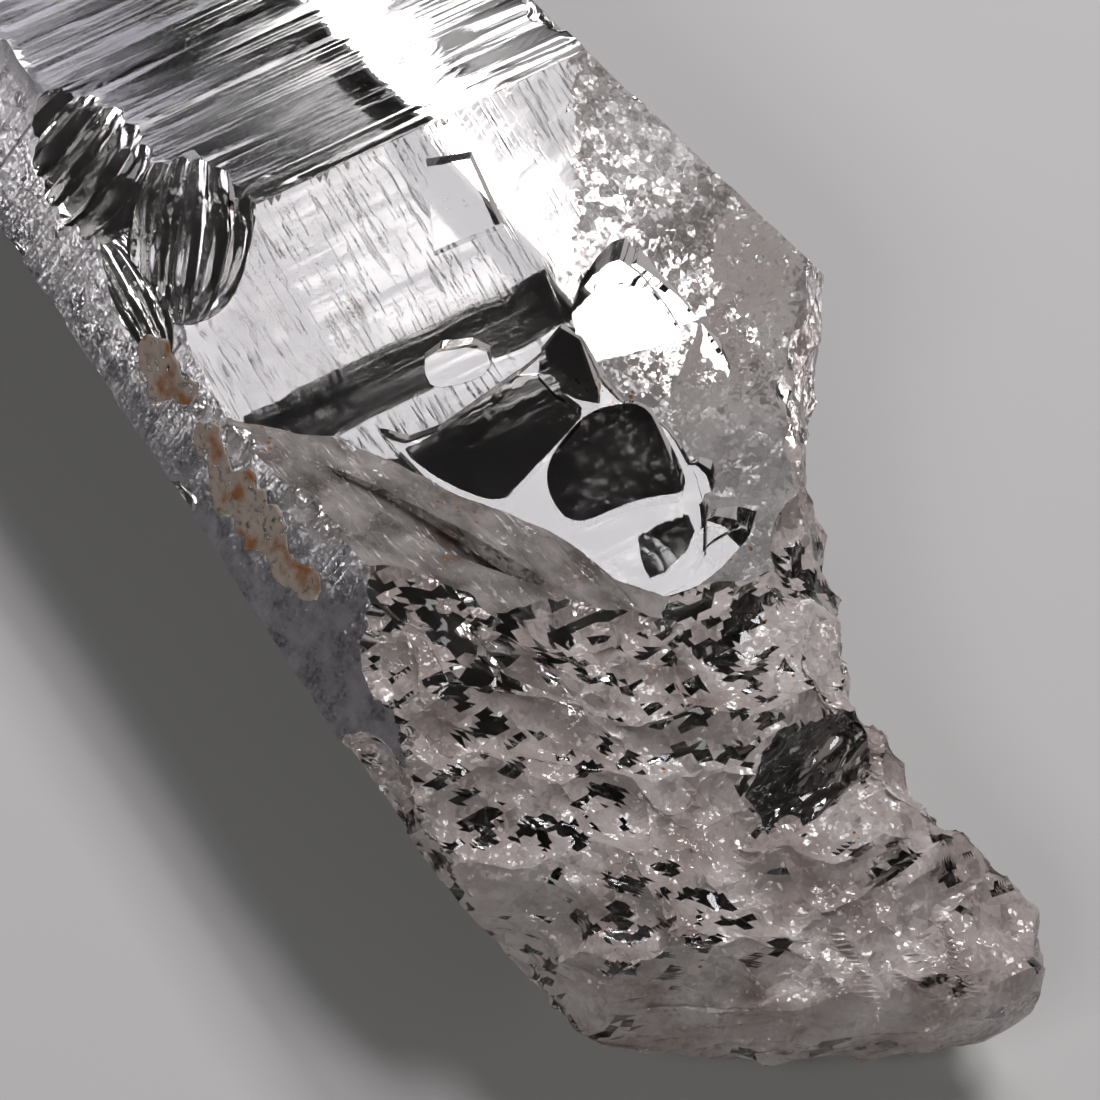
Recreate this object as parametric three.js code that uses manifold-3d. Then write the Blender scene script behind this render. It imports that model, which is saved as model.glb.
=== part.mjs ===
// A lemurian quartz point: one clear, six-sided quartz crystal that broke away from its root.
// It lies on its lower prism face. Millimetres, +X along the crystal towards its point, +Z up.
// The sizes below are given in the growth frame: x and y are counted from the middle of the
// fracture bowl, and z from the flat face that the crystal rests on.

import * as THREE from "three";
import { mergeVertices } from "three/addons/utils/BufferGeometryUtils.js";
import Module from "manifold-3d";

const wasm = await Module();
wasm.setup();

// The middle of the whole crystal's box in the growth frame. It becomes the part's origin.
const BOX_MIDDLE_X = 21.3;
const BOX_MIDDLE_Y = -1.76;

// The six prism faces. The angle of each runs from +Y towards +Z, the reach is its distance from
// the growth axis at the waist, and the flare is how much that distance grows for each
// millimetre towards the root. The lowest face is the one that it rests on, so it is plain.
const WAIST_X = 20;
const PRISM_FACES = [
  { name: "top", angle: 90, reach: 18.0, flare: 0.026, ledged: true },
  { name: "upper right", angle: 150, reach: 20.6, flare: 0.157, ledged: true },
  { name: "lower right", angle: 210, reach: 8.67, flare: 0.157, ledged: true },
  { name: "underside", angle: 270, reach: 0, flare: 0, ledged: false },
  { name: "lower left", angle: 330, reach: 7.26, flare: 0.027, ledged: true },
  { name: "upper left", angle: 30, reach: 19.15, flare: 0.027, ledged: true },
];
const PRISM_START_X = -42;
const PRISM_END_X = 84;

// Growth ledges run straight across each prism face, square to the crystal's length.
const LEDGE_PITCH_MIN = 1.1;
const LEDGE_PITCH_SPREAD = 2.3;
const LEDGE_DEPTH = 0.15;
const LEDGE_RUN = 0.22;
const LEDGE_SEED = 3;

// The point: six faces that lean back from the tip by the angle of a quartz crystal's rhombs.
// Three large ones meet in the tip and three small ones stand a little outside it.
const TIP = { x: 74, y: 3.4, z: 8.6 };
const RHOMB_LEAN = 51.8;
const LARGE_RHOMB_ANGLES = [90, 210, 330];
const SMALL_RHOMB_ANGLES = [30, 150, 270];
const SMALL_RHOMB_STAND_OFF = 1.9;
const RHOMB_CUTTER_SIZE = 140;

// The rough root: the outline of the broken lump at stations along the crystal. Left is the +Y
// side. Past the last stations it is wider than the prism and takes nothing away.
const ROOT_STATIONS = [
  { x: -31.4, left: -3.0, right: -9.8, top: 8.8, bottom: 2.8 },
  { x: -30.6, left: -0.8, right: -11.2, top: 10.4, bottom: 1.6 },
  { x: -28.8, left: 3.8, right: -11.7, top: 11.6, bottom: 0.8 },
  { x: -26.4, left: 8.4, right: -11.7, top: 12.2, bottom: 0.2 },
  { x: -23.0, left: 13.0, right: -11.4, top: 13.6, bottom: -0.8 },
  { x: -17.3, left: 15.6, right: -12.0, top: 15.6, bottom: -1.6 },
  { x: -11.0, left: 17.8, right: -12.6, top: 17.2, bottom: -2.0 },
  { x: -5.0, left: 19.6, right: -14.0, top: 18.6, bottom: -2.6 },
  { x: 0.0, left: 21.5, right: -16.6, top: 20.6, bottom: -3.2 },
  { x: 6.5, left: 24.0, right: -20.8, top: 24.0, bottom: -4.0 },
  { x: 14.0, left: 27.0, right: -27.0, top: 28.0, bottom: -6.0 },
];
const ROOT_RING_STEP = 0.95;
const ROOT_RING_POINTS = 46;
const ROOT_SQUARENESS = 0.72;
const ROOT_SEED = 11;

// Shell-shaped dishes that the root's break is made of: the width of one, and how deep it is.
const BROAD_DISH = { width: 8.0, depth: 3.4 };
const SMALL_DISH = { width: 3.3, depth: 1.5 };

// The relief is full from this x to the end of the root, and fades out towards the prism. No
// dish goes deeper than a share of the way to the root's middle.
const FULLY_ROUGH_X = -7;
const ROUGH_FADE = 12;
const LEAST_ROUGH = 0.15;
const DEEPEST_SHARE = 0.4;

// Curved ledges that the break left in rings round the bowl: how far apart, and how high.
const RIPPLE = { spacing: 3.6, height: 0.55, wander: 2.6 };

// The big fracture bowl. Its far slope rises towards the point through two ledges, and ends in
// a straight line across the top face. Each station is a line that runs square to the crystal.
const SLOPE_STATIONS = [
  { x: -20.0, z: 11.5 },
  { x: -8.0, z: 12.3 },
  { x: 2.5, z: 13.3 },
  { x: 5.8, z: 14.25 },
  { x: 8.0, z: 14.5 },
  { x: 10.2, z: 15.7 },
  { x: 19.8, z: 18.0 },
];
const SLOPE_EDGE_OVERHANG = 0.5;
const BOWL_CEILING = 45;
const BOWL_REACH = 34;

// The bowl's walls. Each rises from a foot line through its foot point, in a given direction.
const BOWL_WALLS = [
  { name: "silky left wall", foot: [5.1, 6.2, 13.9], heading: 115, rise: 0.5, lumps: 0.25 },
  { name: "near wall", foot: [-7.6, -2.0, 12.9], heading: 178, rise: 0.72, lumps: 0.5 },
  { name: "right wall", foot: [0.0, -9.0, 13.3], heading: 252, rise: 0.4, lumps: 0.6 },
];
const WALL_GRID_STEP = 2.2;

// Rounded dishes in the bowl's floor. They meet in sharp cusps.
const BOWL_DISHES = [
  { name: "left dish", at: [2.2, 2.2, 23.4], radius: 11.0 },
  { name: "right dish", at: [-0.5, -5.0, 22.4], radius: 10.5 },
  { name: "near dish", at: [-5.6, -3.6, 18.8], radius: 7.0 },
  { name: "plate dish", at: [6.2, -9.2, 25.9], radius: 12.0 },
];
const DISH_FACETS_ROUND = 40;
const DISH_FACETS_DOWN = 28;

// A small sharp-edged pit in the far slope: its corners, and the line that its floor follows.
const PIT_CORNERS = [
  [17.9, -3.1],
  [17.3, -5.4],
  [13.5, -5.0],
  [13.7, -1.0],
];
const PIT_FLOOR = { x: 15.0, z: 16.15, rise: 0.26 };
const PIT_CUTTER_HEIGHT = 10;

// A cleft in the root's upper side.
const CLEFT = { at: [-18.6, -2.2, 14.6], half: [2.4, 5.0, 3.4], turn: 12 };

// Fluted shell-shaped chips along the upper left edge. Each is a scoop with flutes that run from
// end to end. The flow is the way that the flutes run, and the facing is the way out of the
// crystal. Half sizes run across the flutes, along them and into the crystal.
const EDGE_CHIPS = [
  {
    name: "far chip",
    at: [25.6, 12.8, 18.9],
    flow: [-0.25, 0.84, -0.48],
    half: [5.0, 5.6, 3.6],
    flutes: 19,
  },
  {
    name: "middle chip",
    at: [19.6, 9.5, 18.8],
    flow: [-0.76, 0.6, -0.3],
    half: [3.7, 5.2, 3.1],
    flutes: 15,
  },
  {
    name: "lower chip",
    at: [19.0, 13.5, 16.2],
    flow: [-0.98, 0.05, -0.2],
    half: [1.9, 4.0, 1.5],
    flutes: 13,
  },
];
const CHIP_FACING = new THREE.Vector3(0, 0.5, 0.866);
const FLUTE_DEPTH = 0.06;
const FACETS_PER_FLUTE = 3;
const CHIP_FACETS_ALONG = 12;

// Small nicks knocked out of the long edges by balls that stand off by a share of their radius.
const NICKS_PER_EDGE = 4;
const NICK_RADIUS = 0.9;
const NICK_SPREAD = 1.3;
const NICK_STAND_OFF = 0.7;
const NICK_FIRST_X = 9;
const NICK_LAST_X = 62;
const NICK_SEED = 29;

const CRYSTAL_COLOUR = 0xd9d2cf;
const CRYSTAL_ROUGHNESS = 0.12;

// Small helpers.

const radians = THREE.MathUtils.degToRad;

// A repeatable number from 0 to 1 for a set of whole numbers.
function chance(i, j, k, seed) {
  const swirl = Math.sin(i * 127.1 + j * 311.7 + k * 191.9 + seed * 74.7) * 43758.5453;
  return swirl - Math.floor(swirl);
}

// The value of one field of a list of stations at x, straight between its neighbours.
function stationValue(stations, field, x) {
  const after = stations.findIndex((station) => station.x >= x);
  if (after === 0) return stations[0][field];
  if (after === -1) return stations.at(-1)[field];
  const [low, high] = [stations[after - 1], stations[after]];
  return THREE.MathUtils.lerp(low[field], high[field], (x - low.x) / (high.x - low.x));
}

// Shell-shaped relief: space is filled with dishes, one to a cell, each a shallow bowl about a
// centre of its own. The lowest bowl counts, so neighbours meet in sharp ridges. The value runs
// from 0 in the deepest dish to about 1 on a ridge.
function dishes(point, width, seed) {
  const cell = [point.x / width, point.y / width, point.z / width].map(Math.floor);
  let lowest = Infinity;
  for (let dx = -1; dx <= 1; dx += 1) {
    for (let dy = -1; dy <= 1; dy += 1) {
      for (let dz = -1; dz <= 1; dz += 1) {
        const [i, j, k] = [cell[0] + dx, cell[1] + dy, cell[2] + dz];
        const away = new THREE.Vector3(
          point.x / width - i - chance(i, j, k, seed),
          point.y / width - j - chance(i, j, k, seed + 1),
          point.z / width - k - chance(i, j, k, seed + 2),
        );
        const bowl = 0.5 * chance(i, j, k, seed + 3) + away.lengthSq();
        lowest = Math.min(lowest, bowl);
      }
    }
  }
  return Math.min(lowest, 1);
}

// The relief of the broken root at a point, in millimetres inwards.
function rootRelief(point) {
  const broad = BROAD_DISH.depth * (1 - dishes(point, BROAD_DISH.width, ROOT_SEED));
  const small = SMALL_DISH.depth * (1 - dishes(point, SMALL_DISH.width, ROOT_SEED + 5));
  const wander = (RIPPLE.wander * broad) / BROAD_DISH.depth;
  const ring = (Math.hypot(point.x, point.y) + wander) / RIPPLE.spacing;
  const ripple = RIPPLE.height * (ring - Math.floor(ring));
  const fade = THREE.MathUtils.clamp(1 - (point.x - FULLY_ROUGH_X) / ROUGH_FADE, LEAST_ROUGH, 1);
  return fade * (broad + small + ripple);
}

// A closed surface through rings that follow one another along +X. All rings have the same
// number of points, in order from +Y towards +Z, and each end is closed round its middle.
function loft(rings) {
  const size = rings[0].length;
  const positions = rings.flat().flatMap((point) => [point.x, point.y, point.z]);
  const triangles = [];
  for (let i = 0; i + 1 < rings.length; i += 1) {
    for (let j = 0; j < size; j += 1) {
      const a = i * size + j;
      const b = i * size + ((j + 1) % size);
      triangles.push(a, b, a + size, b, b + size, a + size);
    }
  }
  const ends = [
    { ring: rings[0], first: 0, turned: true },
    { ring: rings.at(-1), first: (rings.length - 1) * size, turned: false },
  ];
  for (const { ring, first, turned } of ends) {
    const middle = new THREE.Vector3();
    ring.forEach((point) => middle.addScaledVector(point, 1 / size));
    const hub = positions.length / 3;
    positions.push(middle.x, middle.y, middle.z);
    for (let j = 0; j < size; j += 1) {
      const here = first + j;
      const next = first + ((j + 1) % size);
      triangles.push(hub, turned ? next : here, turned ? here : next);
    }
  }
  const geometry = new THREE.BufferGeometry();
  geometry.setAttribute("position", new THREE.Float32BufferAttribute(positions, 3));
  geometry.setIndex(triangles);
  return geometry;
}

// A solid that can be joined and cut, from a closed geometry.
function solid(geometry) {
  const bare = geometry.clone();
  bare.deleteAttribute("normal");
  bare.deleteAttribute("uv");
  const merged = mergeVertices(bare);
  const mesh = new wasm.Mesh({
    numProp: 3,
    vertProperties: new Float32Array(merged.attributes.position.array),
    triVerts: new Uint32Array(merged.index.array),
  });
  return new wasm.Manifold(mesh);
}

// A geometry from a finished solid.
function geometryOf(manifold) {
  const mesh = manifold.getMesh();
  const geometry = new THREE.BufferGeometry();
  geometry.setAttribute("position", new THREE.Float32BufferAttribute(mesh.vertProperties, 3));
  geometry.setIndex(new THREE.Uint32BufferAttribute(mesh.triVerts, 1));
  return geometry;
}

// A height field turned into a cutter: everything above height(x, y), up to the ceiling.
function roomAbove(xs, ys, height) {
  const rings = xs.map((x) => {
    const floor = ys.map((y) => new THREE.Vector3(x, y, height(x, y)));
    const roof = [
      new THREE.Vector3(x, ys.at(-1), BOWL_CEILING),
      new THREE.Vector3(x, ys[0], BOWL_CEILING),
    ];
    return [...floor, ...roof];
  });
  return loft(rings);
}

// Evenly spaced numbers from first to last, about one step apart.
function spaced(first, last, step) {
  const count = Math.max(1, Math.round(Math.abs(last - first) / step));
  return Array.from({ length: count + 1 }, (_, i) => THREE.MathUtils.lerp(first, last, i / count));
}

// The crystal's own faces.

// Where the prism's ledges are: a list of x places, irregularly spaced.
function ledgePlaces() {
  const places = [];
  let x = PRISM_START_X + LEDGE_PITCH_MIN;
  while (x < PRISM_END_X - LEDGE_PITCH_MIN) {
    places.push(x);
    x += LEDGE_PITCH_MIN + LEDGE_PITCH_SPREAD * chance(places.length, 0, 0, LEDGE_SEED) ** 2;
  }
  return places;
}

// How far the tread after a ledge lies below the face, in millimetres.
function treadDepth(tread, face) {
  if (!PRISM_FACES[face].ledged) return 0;
  return LEDGE_DEPTH * chance(tread, face, 1, LEDGE_SEED) ** 2;
}

// One six-cornered section of the prism, on a given tread between two ledges.
function prismRing(x, tread) {
  const lines = PRISM_FACES.map((face, index) => ({
    angle: radians(face.angle),
    reach: face.reach - face.flare * (x - WAIST_X) - treadDepth(tread, index),
  }));
  return lines.map((one, index) => {
    const two = lines[(index + 1) % lines.length];
    const spread = Math.sin(two.angle - one.angle);
    return new THREE.Vector3(
      x,
      (one.reach * Math.sin(two.angle) - two.reach * Math.sin(one.angle)) / spread,
      (two.reach * Math.cos(one.angle) - one.reach * Math.cos(two.angle)) / spread,
    );
  });
}

function prism() {
  const rings = [prismRing(PRISM_START_X, 0)];
  ledgePlaces().forEach((x, tread) => {
    rings.push(prismRing(x - LEDGE_RUN / 2, tread), prismRing(x + LEDGE_RUN / 2, tread + 1));
  });
  rings.push(prismRing(PRISM_END_X, rings.length / 2));
  return solid(loft(rings));
}

// A block whose lower face is one face of the point. Taking it away makes that face.
function rhombCutter(angle, standOff) {
  const lean = radians(RHOMB_LEAN);
  const turn = radians(angle);
  const outward = new THREE.Vector3(
    Math.cos(lean),
    Math.sin(lean) * Math.cos(turn),
    Math.sin(lean) * Math.sin(turn),
  );
  const block = new THREE.BoxGeometry(RHOMB_CUTTER_SIZE, RHOMB_CUTTER_SIZE, RHOMB_CUTTER_SIZE);
  const upright = new THREE.Vector3(0, 0, 1);
  block.translate(0, 0, RHOMB_CUTTER_SIZE / 2 + standOff);
  block.applyQuaternion(new THREE.Quaternion().setFromUnitVectors(upright, outward));
  block.translate(TIP.x, TIP.y, TIP.z);
  return solid(block);
}

function point(body) {
  const large = LARGE_RHOMB_ANGLES.map((angle) => rhombCutter(angle, 0));
  const small = SMALL_RHOMB_ANGLES.map((angle) => rhombCutter(angle, SMALL_RHOMB_STAND_OFF));
  return [...large, ...small].reduce((whole, cutter) => whole.subtract(cutter), body);
}

// The root and its breaks.

// The lump that the root was broken down to: a rounded section at each x, worked in by dishes.
function rootLump() {
  const first = ROOT_STATIONS[0].x;
  const last = ROOT_STATIONS.at(-1).x;
  const rings = spaced(first, last, ROOT_RING_STEP).map((x) => {
    const [left, right, top, bottom] = ["left", "right", "top", "bottom"].map((field) =>
      stationValue(ROOT_STATIONS, field, x),
    );
    const centre = new THREE.Vector3(x, (left + right) / 2, (top + bottom) / 2);
    return Array.from({ length: ROOT_RING_POINTS }, (_, step) => {
      const angle = (step / ROOT_RING_POINTS) * Math.PI * 2;
      const across = Math.sign(Math.cos(angle)) * Math.abs(Math.cos(angle)) ** ROOT_SQUARENESS;
      const up = Math.sign(Math.sin(angle)) * Math.abs(Math.sin(angle)) ** ROOT_SQUARENESS;
      const spoke = new THREE.Vector3(0, ((left - right) / 2) * across, ((top - bottom) / 2) * up);
      const surface = centre.clone().add(spoke);
      const inwards = Math.min(rootRelief(surface), spoke.length() * DEEPEST_SHARE);
      return surface.addScaledVector(spoke.normalize(), -inwards);
    });
  });
  const far = rings.at(-1).map((corner) => new THREE.Vector3(PRISM_END_X + 1, corner.y, corner.z));
  rings.push(far);
  return solid(loft(rings));
}

// The bowl's far slope, with its straight upper edge and its two ledges.
function slopeRoom() {
  const lines = SLOPE_STATIONS.map((station) => station.x);
  const edge = lines.at(-1);
  const xs = [...lines, edge + SLOPE_EDGE_OVERHANG];
  const height = (x) => (x > edge ? BOWL_CEILING - 1 : stationValue(SLOPE_STATIONS, "z", x));
  return solid(roomAbove(xs, [-BOWL_REACH, BOWL_REACH], height));
}

// The room inside one wall of the bowl: everything above a slope that rises away from its foot.
function wallRoom(wall, index) {
  const heading = radians(wall.heading);
  const height = (x, y) => {
    const out = (x - wall.foot[0]) * Math.cos(heading) + (y - wall.foot[1]) * Math.sin(heading);
    const relief = dishes(new THREE.Vector3(x, y, 0), SMALL_DISH.width, ROOT_SEED + 20 * index);
    return Math.min(wall.foot[2] + wall.rise * out + wall.lumps * relief, BOWL_CEILING - 2);
  };
  const grid = spaced(-BOWL_REACH, BOWL_REACH, WALL_GRID_STEP);
  return solid(roomAbove(grid, grid, height));
}

function bowlRoom() {
  return BOWL_WALLS.map(wallRoom).reduce((room, wall) => room.intersect(wall), slopeRoom());
}

function bowlDish(dish) {
  const ball = new THREE.SphereGeometry(dish.radius, DISH_FACETS_ROUND, DISH_FACETS_DOWN);
  ball.translate(...dish.at);
  return solid(ball);
}

function pit() {
  const outline = new THREE.Shape(PIT_CORNERS.map(([x, y]) => new THREE.Vector2(x, y)));
  const block = new THREE.ExtrudeGeometry(outline, { depth: PIT_CUTTER_HEIGHT, bevelEnabled: false });
  block.applyMatrix4(new THREE.Matrix4().makeShear(0, PIT_FLOOR.rise, 0, 0, 0, 0));
  block.translate(0, 0, PIT_FLOOR.z - PIT_FLOOR.rise * PIT_FLOOR.x);
  return solid(block);
}

function cleft() {
  const scoop = new THREE.SphereGeometry(1, 16, 10);
  scoop.scale(...CLEFT.half);
  scoop.rotateZ(radians(CLEFT.turn));
  scoop.translate(...CLEFT.at);
  return solid(scoop);
}

// A shell-shaped chip: a ball with flutes that run from pole to pole, stretched to its half sizes
// and turned so that its poles lie along the flow.
function edgeChip(chip) {
  const scoop = new THREE.SphereGeometry(1, FACETS_PER_FLUTE * chip.flutes, CHIP_FACETS_ALONG);
  const place = scoop.attributes.position;
  const vertex = new THREE.Vector3();
  for (let i = 0; i < place.count; i += 1) {
    vertex.fromBufferAttribute(place, i);
    const turn = Math.atan2(vertex.z, vertex.x);
    const swell = 1 + FLUTE_DEPTH * Math.cos(chip.flutes * turn);
    place.setXYZ(i, vertex.x * swell, vertex.y, vertex.z * swell);
  }
  const flow = new THREE.Vector3(...chip.flow).normalize();
  const across = new THREE.Vector3().crossVectors(flow, CHIP_FACING).normalize();
  const out = new THREE.Vector3().crossVectors(across, flow);
  scoop.scale(...chip.half);
  scoop.applyMatrix4(new THREE.Matrix4().makeBasis(across, flow, out));
  scoop.translate(...chip.at);
  return solid(scoop);
}

// Nicks at random places along the prism's long edges, but not along the face that it rests on.
function nicks() {
  const cutters = [];
  PRISM_FACES.forEach((face, edge) => {
    const next = PRISM_FACES[(edge + 1) % PRISM_FACES.length];
    if (!face.ledged || !next.ledged) return;
    for (let i = 0; i < NICKS_PER_EDGE; i += 1) {
      const x = THREE.MathUtils.lerp(NICK_FIRST_X, NICK_LAST_X, chance(i, edge, 0, NICK_SEED));
      const corner = prismRing(x, 0)[edge];
      const radius = NICK_RADIUS + NICK_SPREAD * chance(i, edge, 1, NICK_SEED);
      const ball = new THREE.IcosahedronGeometry(radius, 1);
      const out = new THREE.Vector3(0, corner.y, corner.z - TIP.z).normalize();
      corner.addScaledVector(out, radius * NICK_STAND_OFF);
      ball.translate(corner.x, corner.y, corner.z);
      cutters.push(solid(ball));
    }
  });
  return cutters;
}

function crystal() {
  const cutters = [
    bowlRoom(),
    ...BOWL_DISHES.map(bowlDish),
    pit(),
    cleft(),
    ...EDGE_CHIPS.map(edgeChip),
    ...nicks(),
  ];
  const whole = point(prism()).intersect(rootLump());
  const broken = cutters.reduce((body, cutter) => body.subtract(cutter), whole);
  const geometry = geometryOf(broken);
  geometry.translate(-BOX_MIDDLE_X, -BOX_MIDDLE_Y, 0);
  const quartz = new THREE.MeshStandardMaterial({
    color: CRYSTAL_COLOUR,
    roughness: CRYSTAL_ROUGHNESS,
    metalness: 0,
    flatShading: true,
  });
  const mesh = new THREE.Mesh(geometry, quartz);
  mesh.name = "quartz_point";
  return mesh;
}

const group = new THREE.Group();
group.add(crystal());

export default group;
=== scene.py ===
"""Looks of a natural quartz point: one clear crystal with a rough, milky, broken root.

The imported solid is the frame. The crystal is built again from the same driving sizes, in the
same growth frame, with fine growth lines, shell-shaped breaks and rough relief. Shapes are in
millimetres until they become meshes, which are in metres.
"""

import logging
import math
from collections.abc import Iterator
from dataclasses import dataclass, field
from enum import Enum, IntEnum
from typing import ClassVar

import bpy
import numpy as np
from mathutils import Matrix, Vector


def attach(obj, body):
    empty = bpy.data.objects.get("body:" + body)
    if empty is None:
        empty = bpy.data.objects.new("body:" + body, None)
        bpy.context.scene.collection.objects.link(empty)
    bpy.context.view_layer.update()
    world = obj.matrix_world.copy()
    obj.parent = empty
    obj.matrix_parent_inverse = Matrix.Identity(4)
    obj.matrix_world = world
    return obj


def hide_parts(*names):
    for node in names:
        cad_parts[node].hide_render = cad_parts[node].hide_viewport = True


Array = np.ndarray
Point3 = tuple[float, float, float]
Colour = tuple[float, float, float]
Socket = bpy.types.NodeSocket
Feed = Socket | float | tuple[float, ...]

LOG: logging.Logger = logging.getLogger("quartz_point")
MILLIMETRE: float = 0.001

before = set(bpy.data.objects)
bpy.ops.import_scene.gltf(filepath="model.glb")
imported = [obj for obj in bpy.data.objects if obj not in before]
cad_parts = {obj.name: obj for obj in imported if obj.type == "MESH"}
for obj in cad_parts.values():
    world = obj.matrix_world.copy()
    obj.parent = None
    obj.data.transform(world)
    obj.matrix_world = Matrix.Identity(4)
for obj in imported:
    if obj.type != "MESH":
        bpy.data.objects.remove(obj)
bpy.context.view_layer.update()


class Finish(IntEnum):
    """The finishes of the crystal's surfaces, in the order of its material slots."""

    CLEAR = 0
    GLASSY = 1
    HATCHED = 2
    FROSTED = 3
    SILKY = 4
    MILKY = 5
    ETCHED = 6
    SHARDS = 7


class Cut(Enum):
    """How one solid works on another."""

    TAKE_AWAY = "DIFFERENCE"
    KEEP_COMMON = "INTERSECT"


@dataclass(frozen=True)
class GrowthFrame:
    """The frame that the shapes are given in, counted from the middle of the fracture bowl.

    Attributes:
        middle_x: The middle of the crystal's box along its length, in millimetres.
        middle_y: The middle of the crystal's box across its width, in millimetres.
    """

    middle_x: float = 21.3
    middle_y: float = -1.76

    def place(self, points: Array) -> Array:
        """Growth-frame millimetres turned into part-frame metres, by a plain shift and scale."""
        return (points - np.array([self.middle_x, self.middle_y, 0.0])) * MILLIMETRE

    def growth(self, places: Array) -> Array:
        """Part-frame metres turned back into growth-frame millimetres."""
        return places / MILLIMETRE + np.array([self.middle_x, self.middle_y, 0.0])


GROWTH: GrowthFrame = GrowthFrame()


def chance(i: Array, j: Array, k: Array, seed: float) -> Array:
    """A repeatable number from 0 to 1: the fraction of a large multiple of a sine of the sum.

    Args:
        i: First whole number, or an array of them.
        j: Second whole number.
        k: Third whole number.
        seed: Sets one family of numbers apart from another.

    Returns:
        Numbers from 0 to 1, in the shape of the arguments.
    """
    swirl = np.sin(i * 127.1 + j * 311.7 + k * 191.9 + seed * 74.7) * 43758.5453
    return swirl - np.floor(swirl)


def near_cells(points: Array, width: float, seed: float) -> Iterator[tuple[Array, Array, Array, Array]]:
    """The 27 cells round each point: their numbers, and the squared distance to their centres.

    Every cell of a cubic grid holds one centre at a random place.

    Args:
        points: Places, one row of three coordinates each.
        width: The width of a cell.
        seed: Sets one pattern apart from another.

    Yields:
        The three whole numbers of a cell, and the squared distance in cell widths.
    """
    cells = np.floor(points / width)
    for step in np.ndindex(3, 3, 3):
        cell = cells + np.array(step) - 1.0
        i, j, k = cell.T
        centre = cell + np.stack([chance(i, j, k, seed + n) for n in range(3)], axis=1)
        yield i, j, k, ((points / width - centre) ** 2).sum(axis=1)


def dishes(points: Array, width: float, seed: float) -> Array:
    """Shell-shaped relief: the least of squared distance plus a height of the cell's own.

    The height goes up to a half, so bowls of unlike depth meet in sharp ridges.

    Args:
        points: Places, one row of three coordinates each.
        width: The width of a dish.
        seed: Sets one pattern apart from another.

    Returns:
        One value for each point, from 0 in the deepest dish to 1.
    """
    lowest = np.ones(len(points))
    for i, j, k, away in near_cells(points, width, seed):
        lowest = np.minimum(lowest, 0.5 * chance(i, j, k, seed + 3) + away)
    return lowest


def cell_chance(points: Array, width: float, seed: float) -> Array:
    """One random number for each point, shared by all points that are nearest the same centre.

    Args:
        points: Places, one row of three coordinates each.
        width: The width of a cell.
        seed: Sets one pattern apart from another.

    Returns:
        Numbers from 0 to 1.
    """
    nearest = np.full(len(points), np.inf)
    number = np.zeros(len(points))
    for i, j, k, away in near_cells(points, width, seed):
        number = np.where(away < nearest, chance(i, j, k, seed + 4), number)
        nearest = np.minimum(nearest, away)
    return number


def drift(values: Array, seed: float) -> Array:
    """Smooth wandering between -1 and 1: random numbers at whole values, eased between them."""
    low = np.floor(values)
    part = values - low
    ease = part * part * (3.0 - 2.0 * part)
    before = chance(low, 0.0, 0.0, seed)
    after = chance(low + 1.0, 0.0, 0.0, seed)
    return 2.0 * (before + (after - before) * ease) - 1.0


@dataclass
class Shell:
    """A closed surface of triangles in the growth frame.

    Attributes:
        points: Corner places in millimetres, one row each.
        triangles: Corner numbers, three to a row, counted so that faces point outwards.
        finish: The finish of each triangle.
    """

    points: Array
    triangles: Array
    finish: Array

    def object(self, name: str) -> bpy.types.Object:
        """Puts the shell into a Blender mesh object at the origin.

        Args:
            name: The name of the object.

        Returns:
            The new object, linked to the scene.
        """
        mesh = bpy.data.meshes.new(name)
        count = len(self.triangles)
        mesh.vertices.add(len(self.points))
        mesh.loops.add(3 * count)
        mesh.polygons.add(count)
        mesh.vertices.foreach_set("co", GROWTH.place(self.points).astype(np.float32).ravel())
        mesh.loops.foreach_set("vertex_index", self.triangles.astype(np.int32).ravel())
        mesh.polygons.foreach_set("loop_start", np.arange(0, 3 * count, 3, dtype=np.int32))
        for _ in Finish:
            mesh.materials.append(None)
        mesh.polygons.foreach_set("material_index", self.finish.astype(np.int32))
        mesh.update(calc_edges=True)
        mesh.validate()
        piece = bpy.data.objects.new(name, mesh)
        bpy.context.scene.collection.objects.link(piece)
        return piece

    def facing_out(self) -> "Shell":
        """The same shell, turned over if its volume, a sum of triple products, is negative."""
        a, b, c = (self.points[self.triangles[:, n]] - self.points.mean(axis=0) for n in range(3))
        if (np.cross(a, b) * c).sum() < 0:
            return Shell(self.points, self.triangles[:, ::-1], self.finish)
        return self


def loft(rings: Array, finish: Finish, columns: Array | None = None) -> Shell:
    """A closed skin through rings that follow one another, with a fan on each end.

    Neighbouring rings are joined by two triangles for each pair of points, and each end ring is
    joined to its own mean point.

    Args:
        rings: Rings by points by three coordinates. Points run from +Y towards +Z, rings to +X.
        finish: The finish of every triangle.
        columns: A finish for each point of a ring instead, for the strip that starts there.

    Returns:
        The closed shell.
    """
    count, size, _ = rings.shape
    here = (np.arange(count - 1)[:, None] * size + np.arange(size)).ravel()
    turn = (np.arange(count - 1)[:, None] * size + (np.arange(size) + 1) % size).ravel()
    sides = np.concatenate(
        [np.stack([here, turn, here + size], 1), np.stack([turn, turn + size, here + size], 1)]
    )
    first = np.arange(size)
    after = (first + 1) % size
    hub = count * size
    last = (count - 1) * size
    start = np.stack([np.full(size, hub), after, first], 1)
    end = np.stack([np.full(size, hub + 1), last + first, last + after], 1)
    hubs = np.stack([rings[0].mean(axis=0), rings[-1].mean(axis=0)])
    triangles = np.concatenate([sides, start, end])
    points = np.concatenate([rings.reshape(-1, 3), hubs])
    finishes = np.full(len(triangles), int(finish))
    if columns is not None:
        finishes[: len(sides)] = np.tile(columns, 2 * (count - 1))
    return Shell(points, triangles, finishes)


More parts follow.
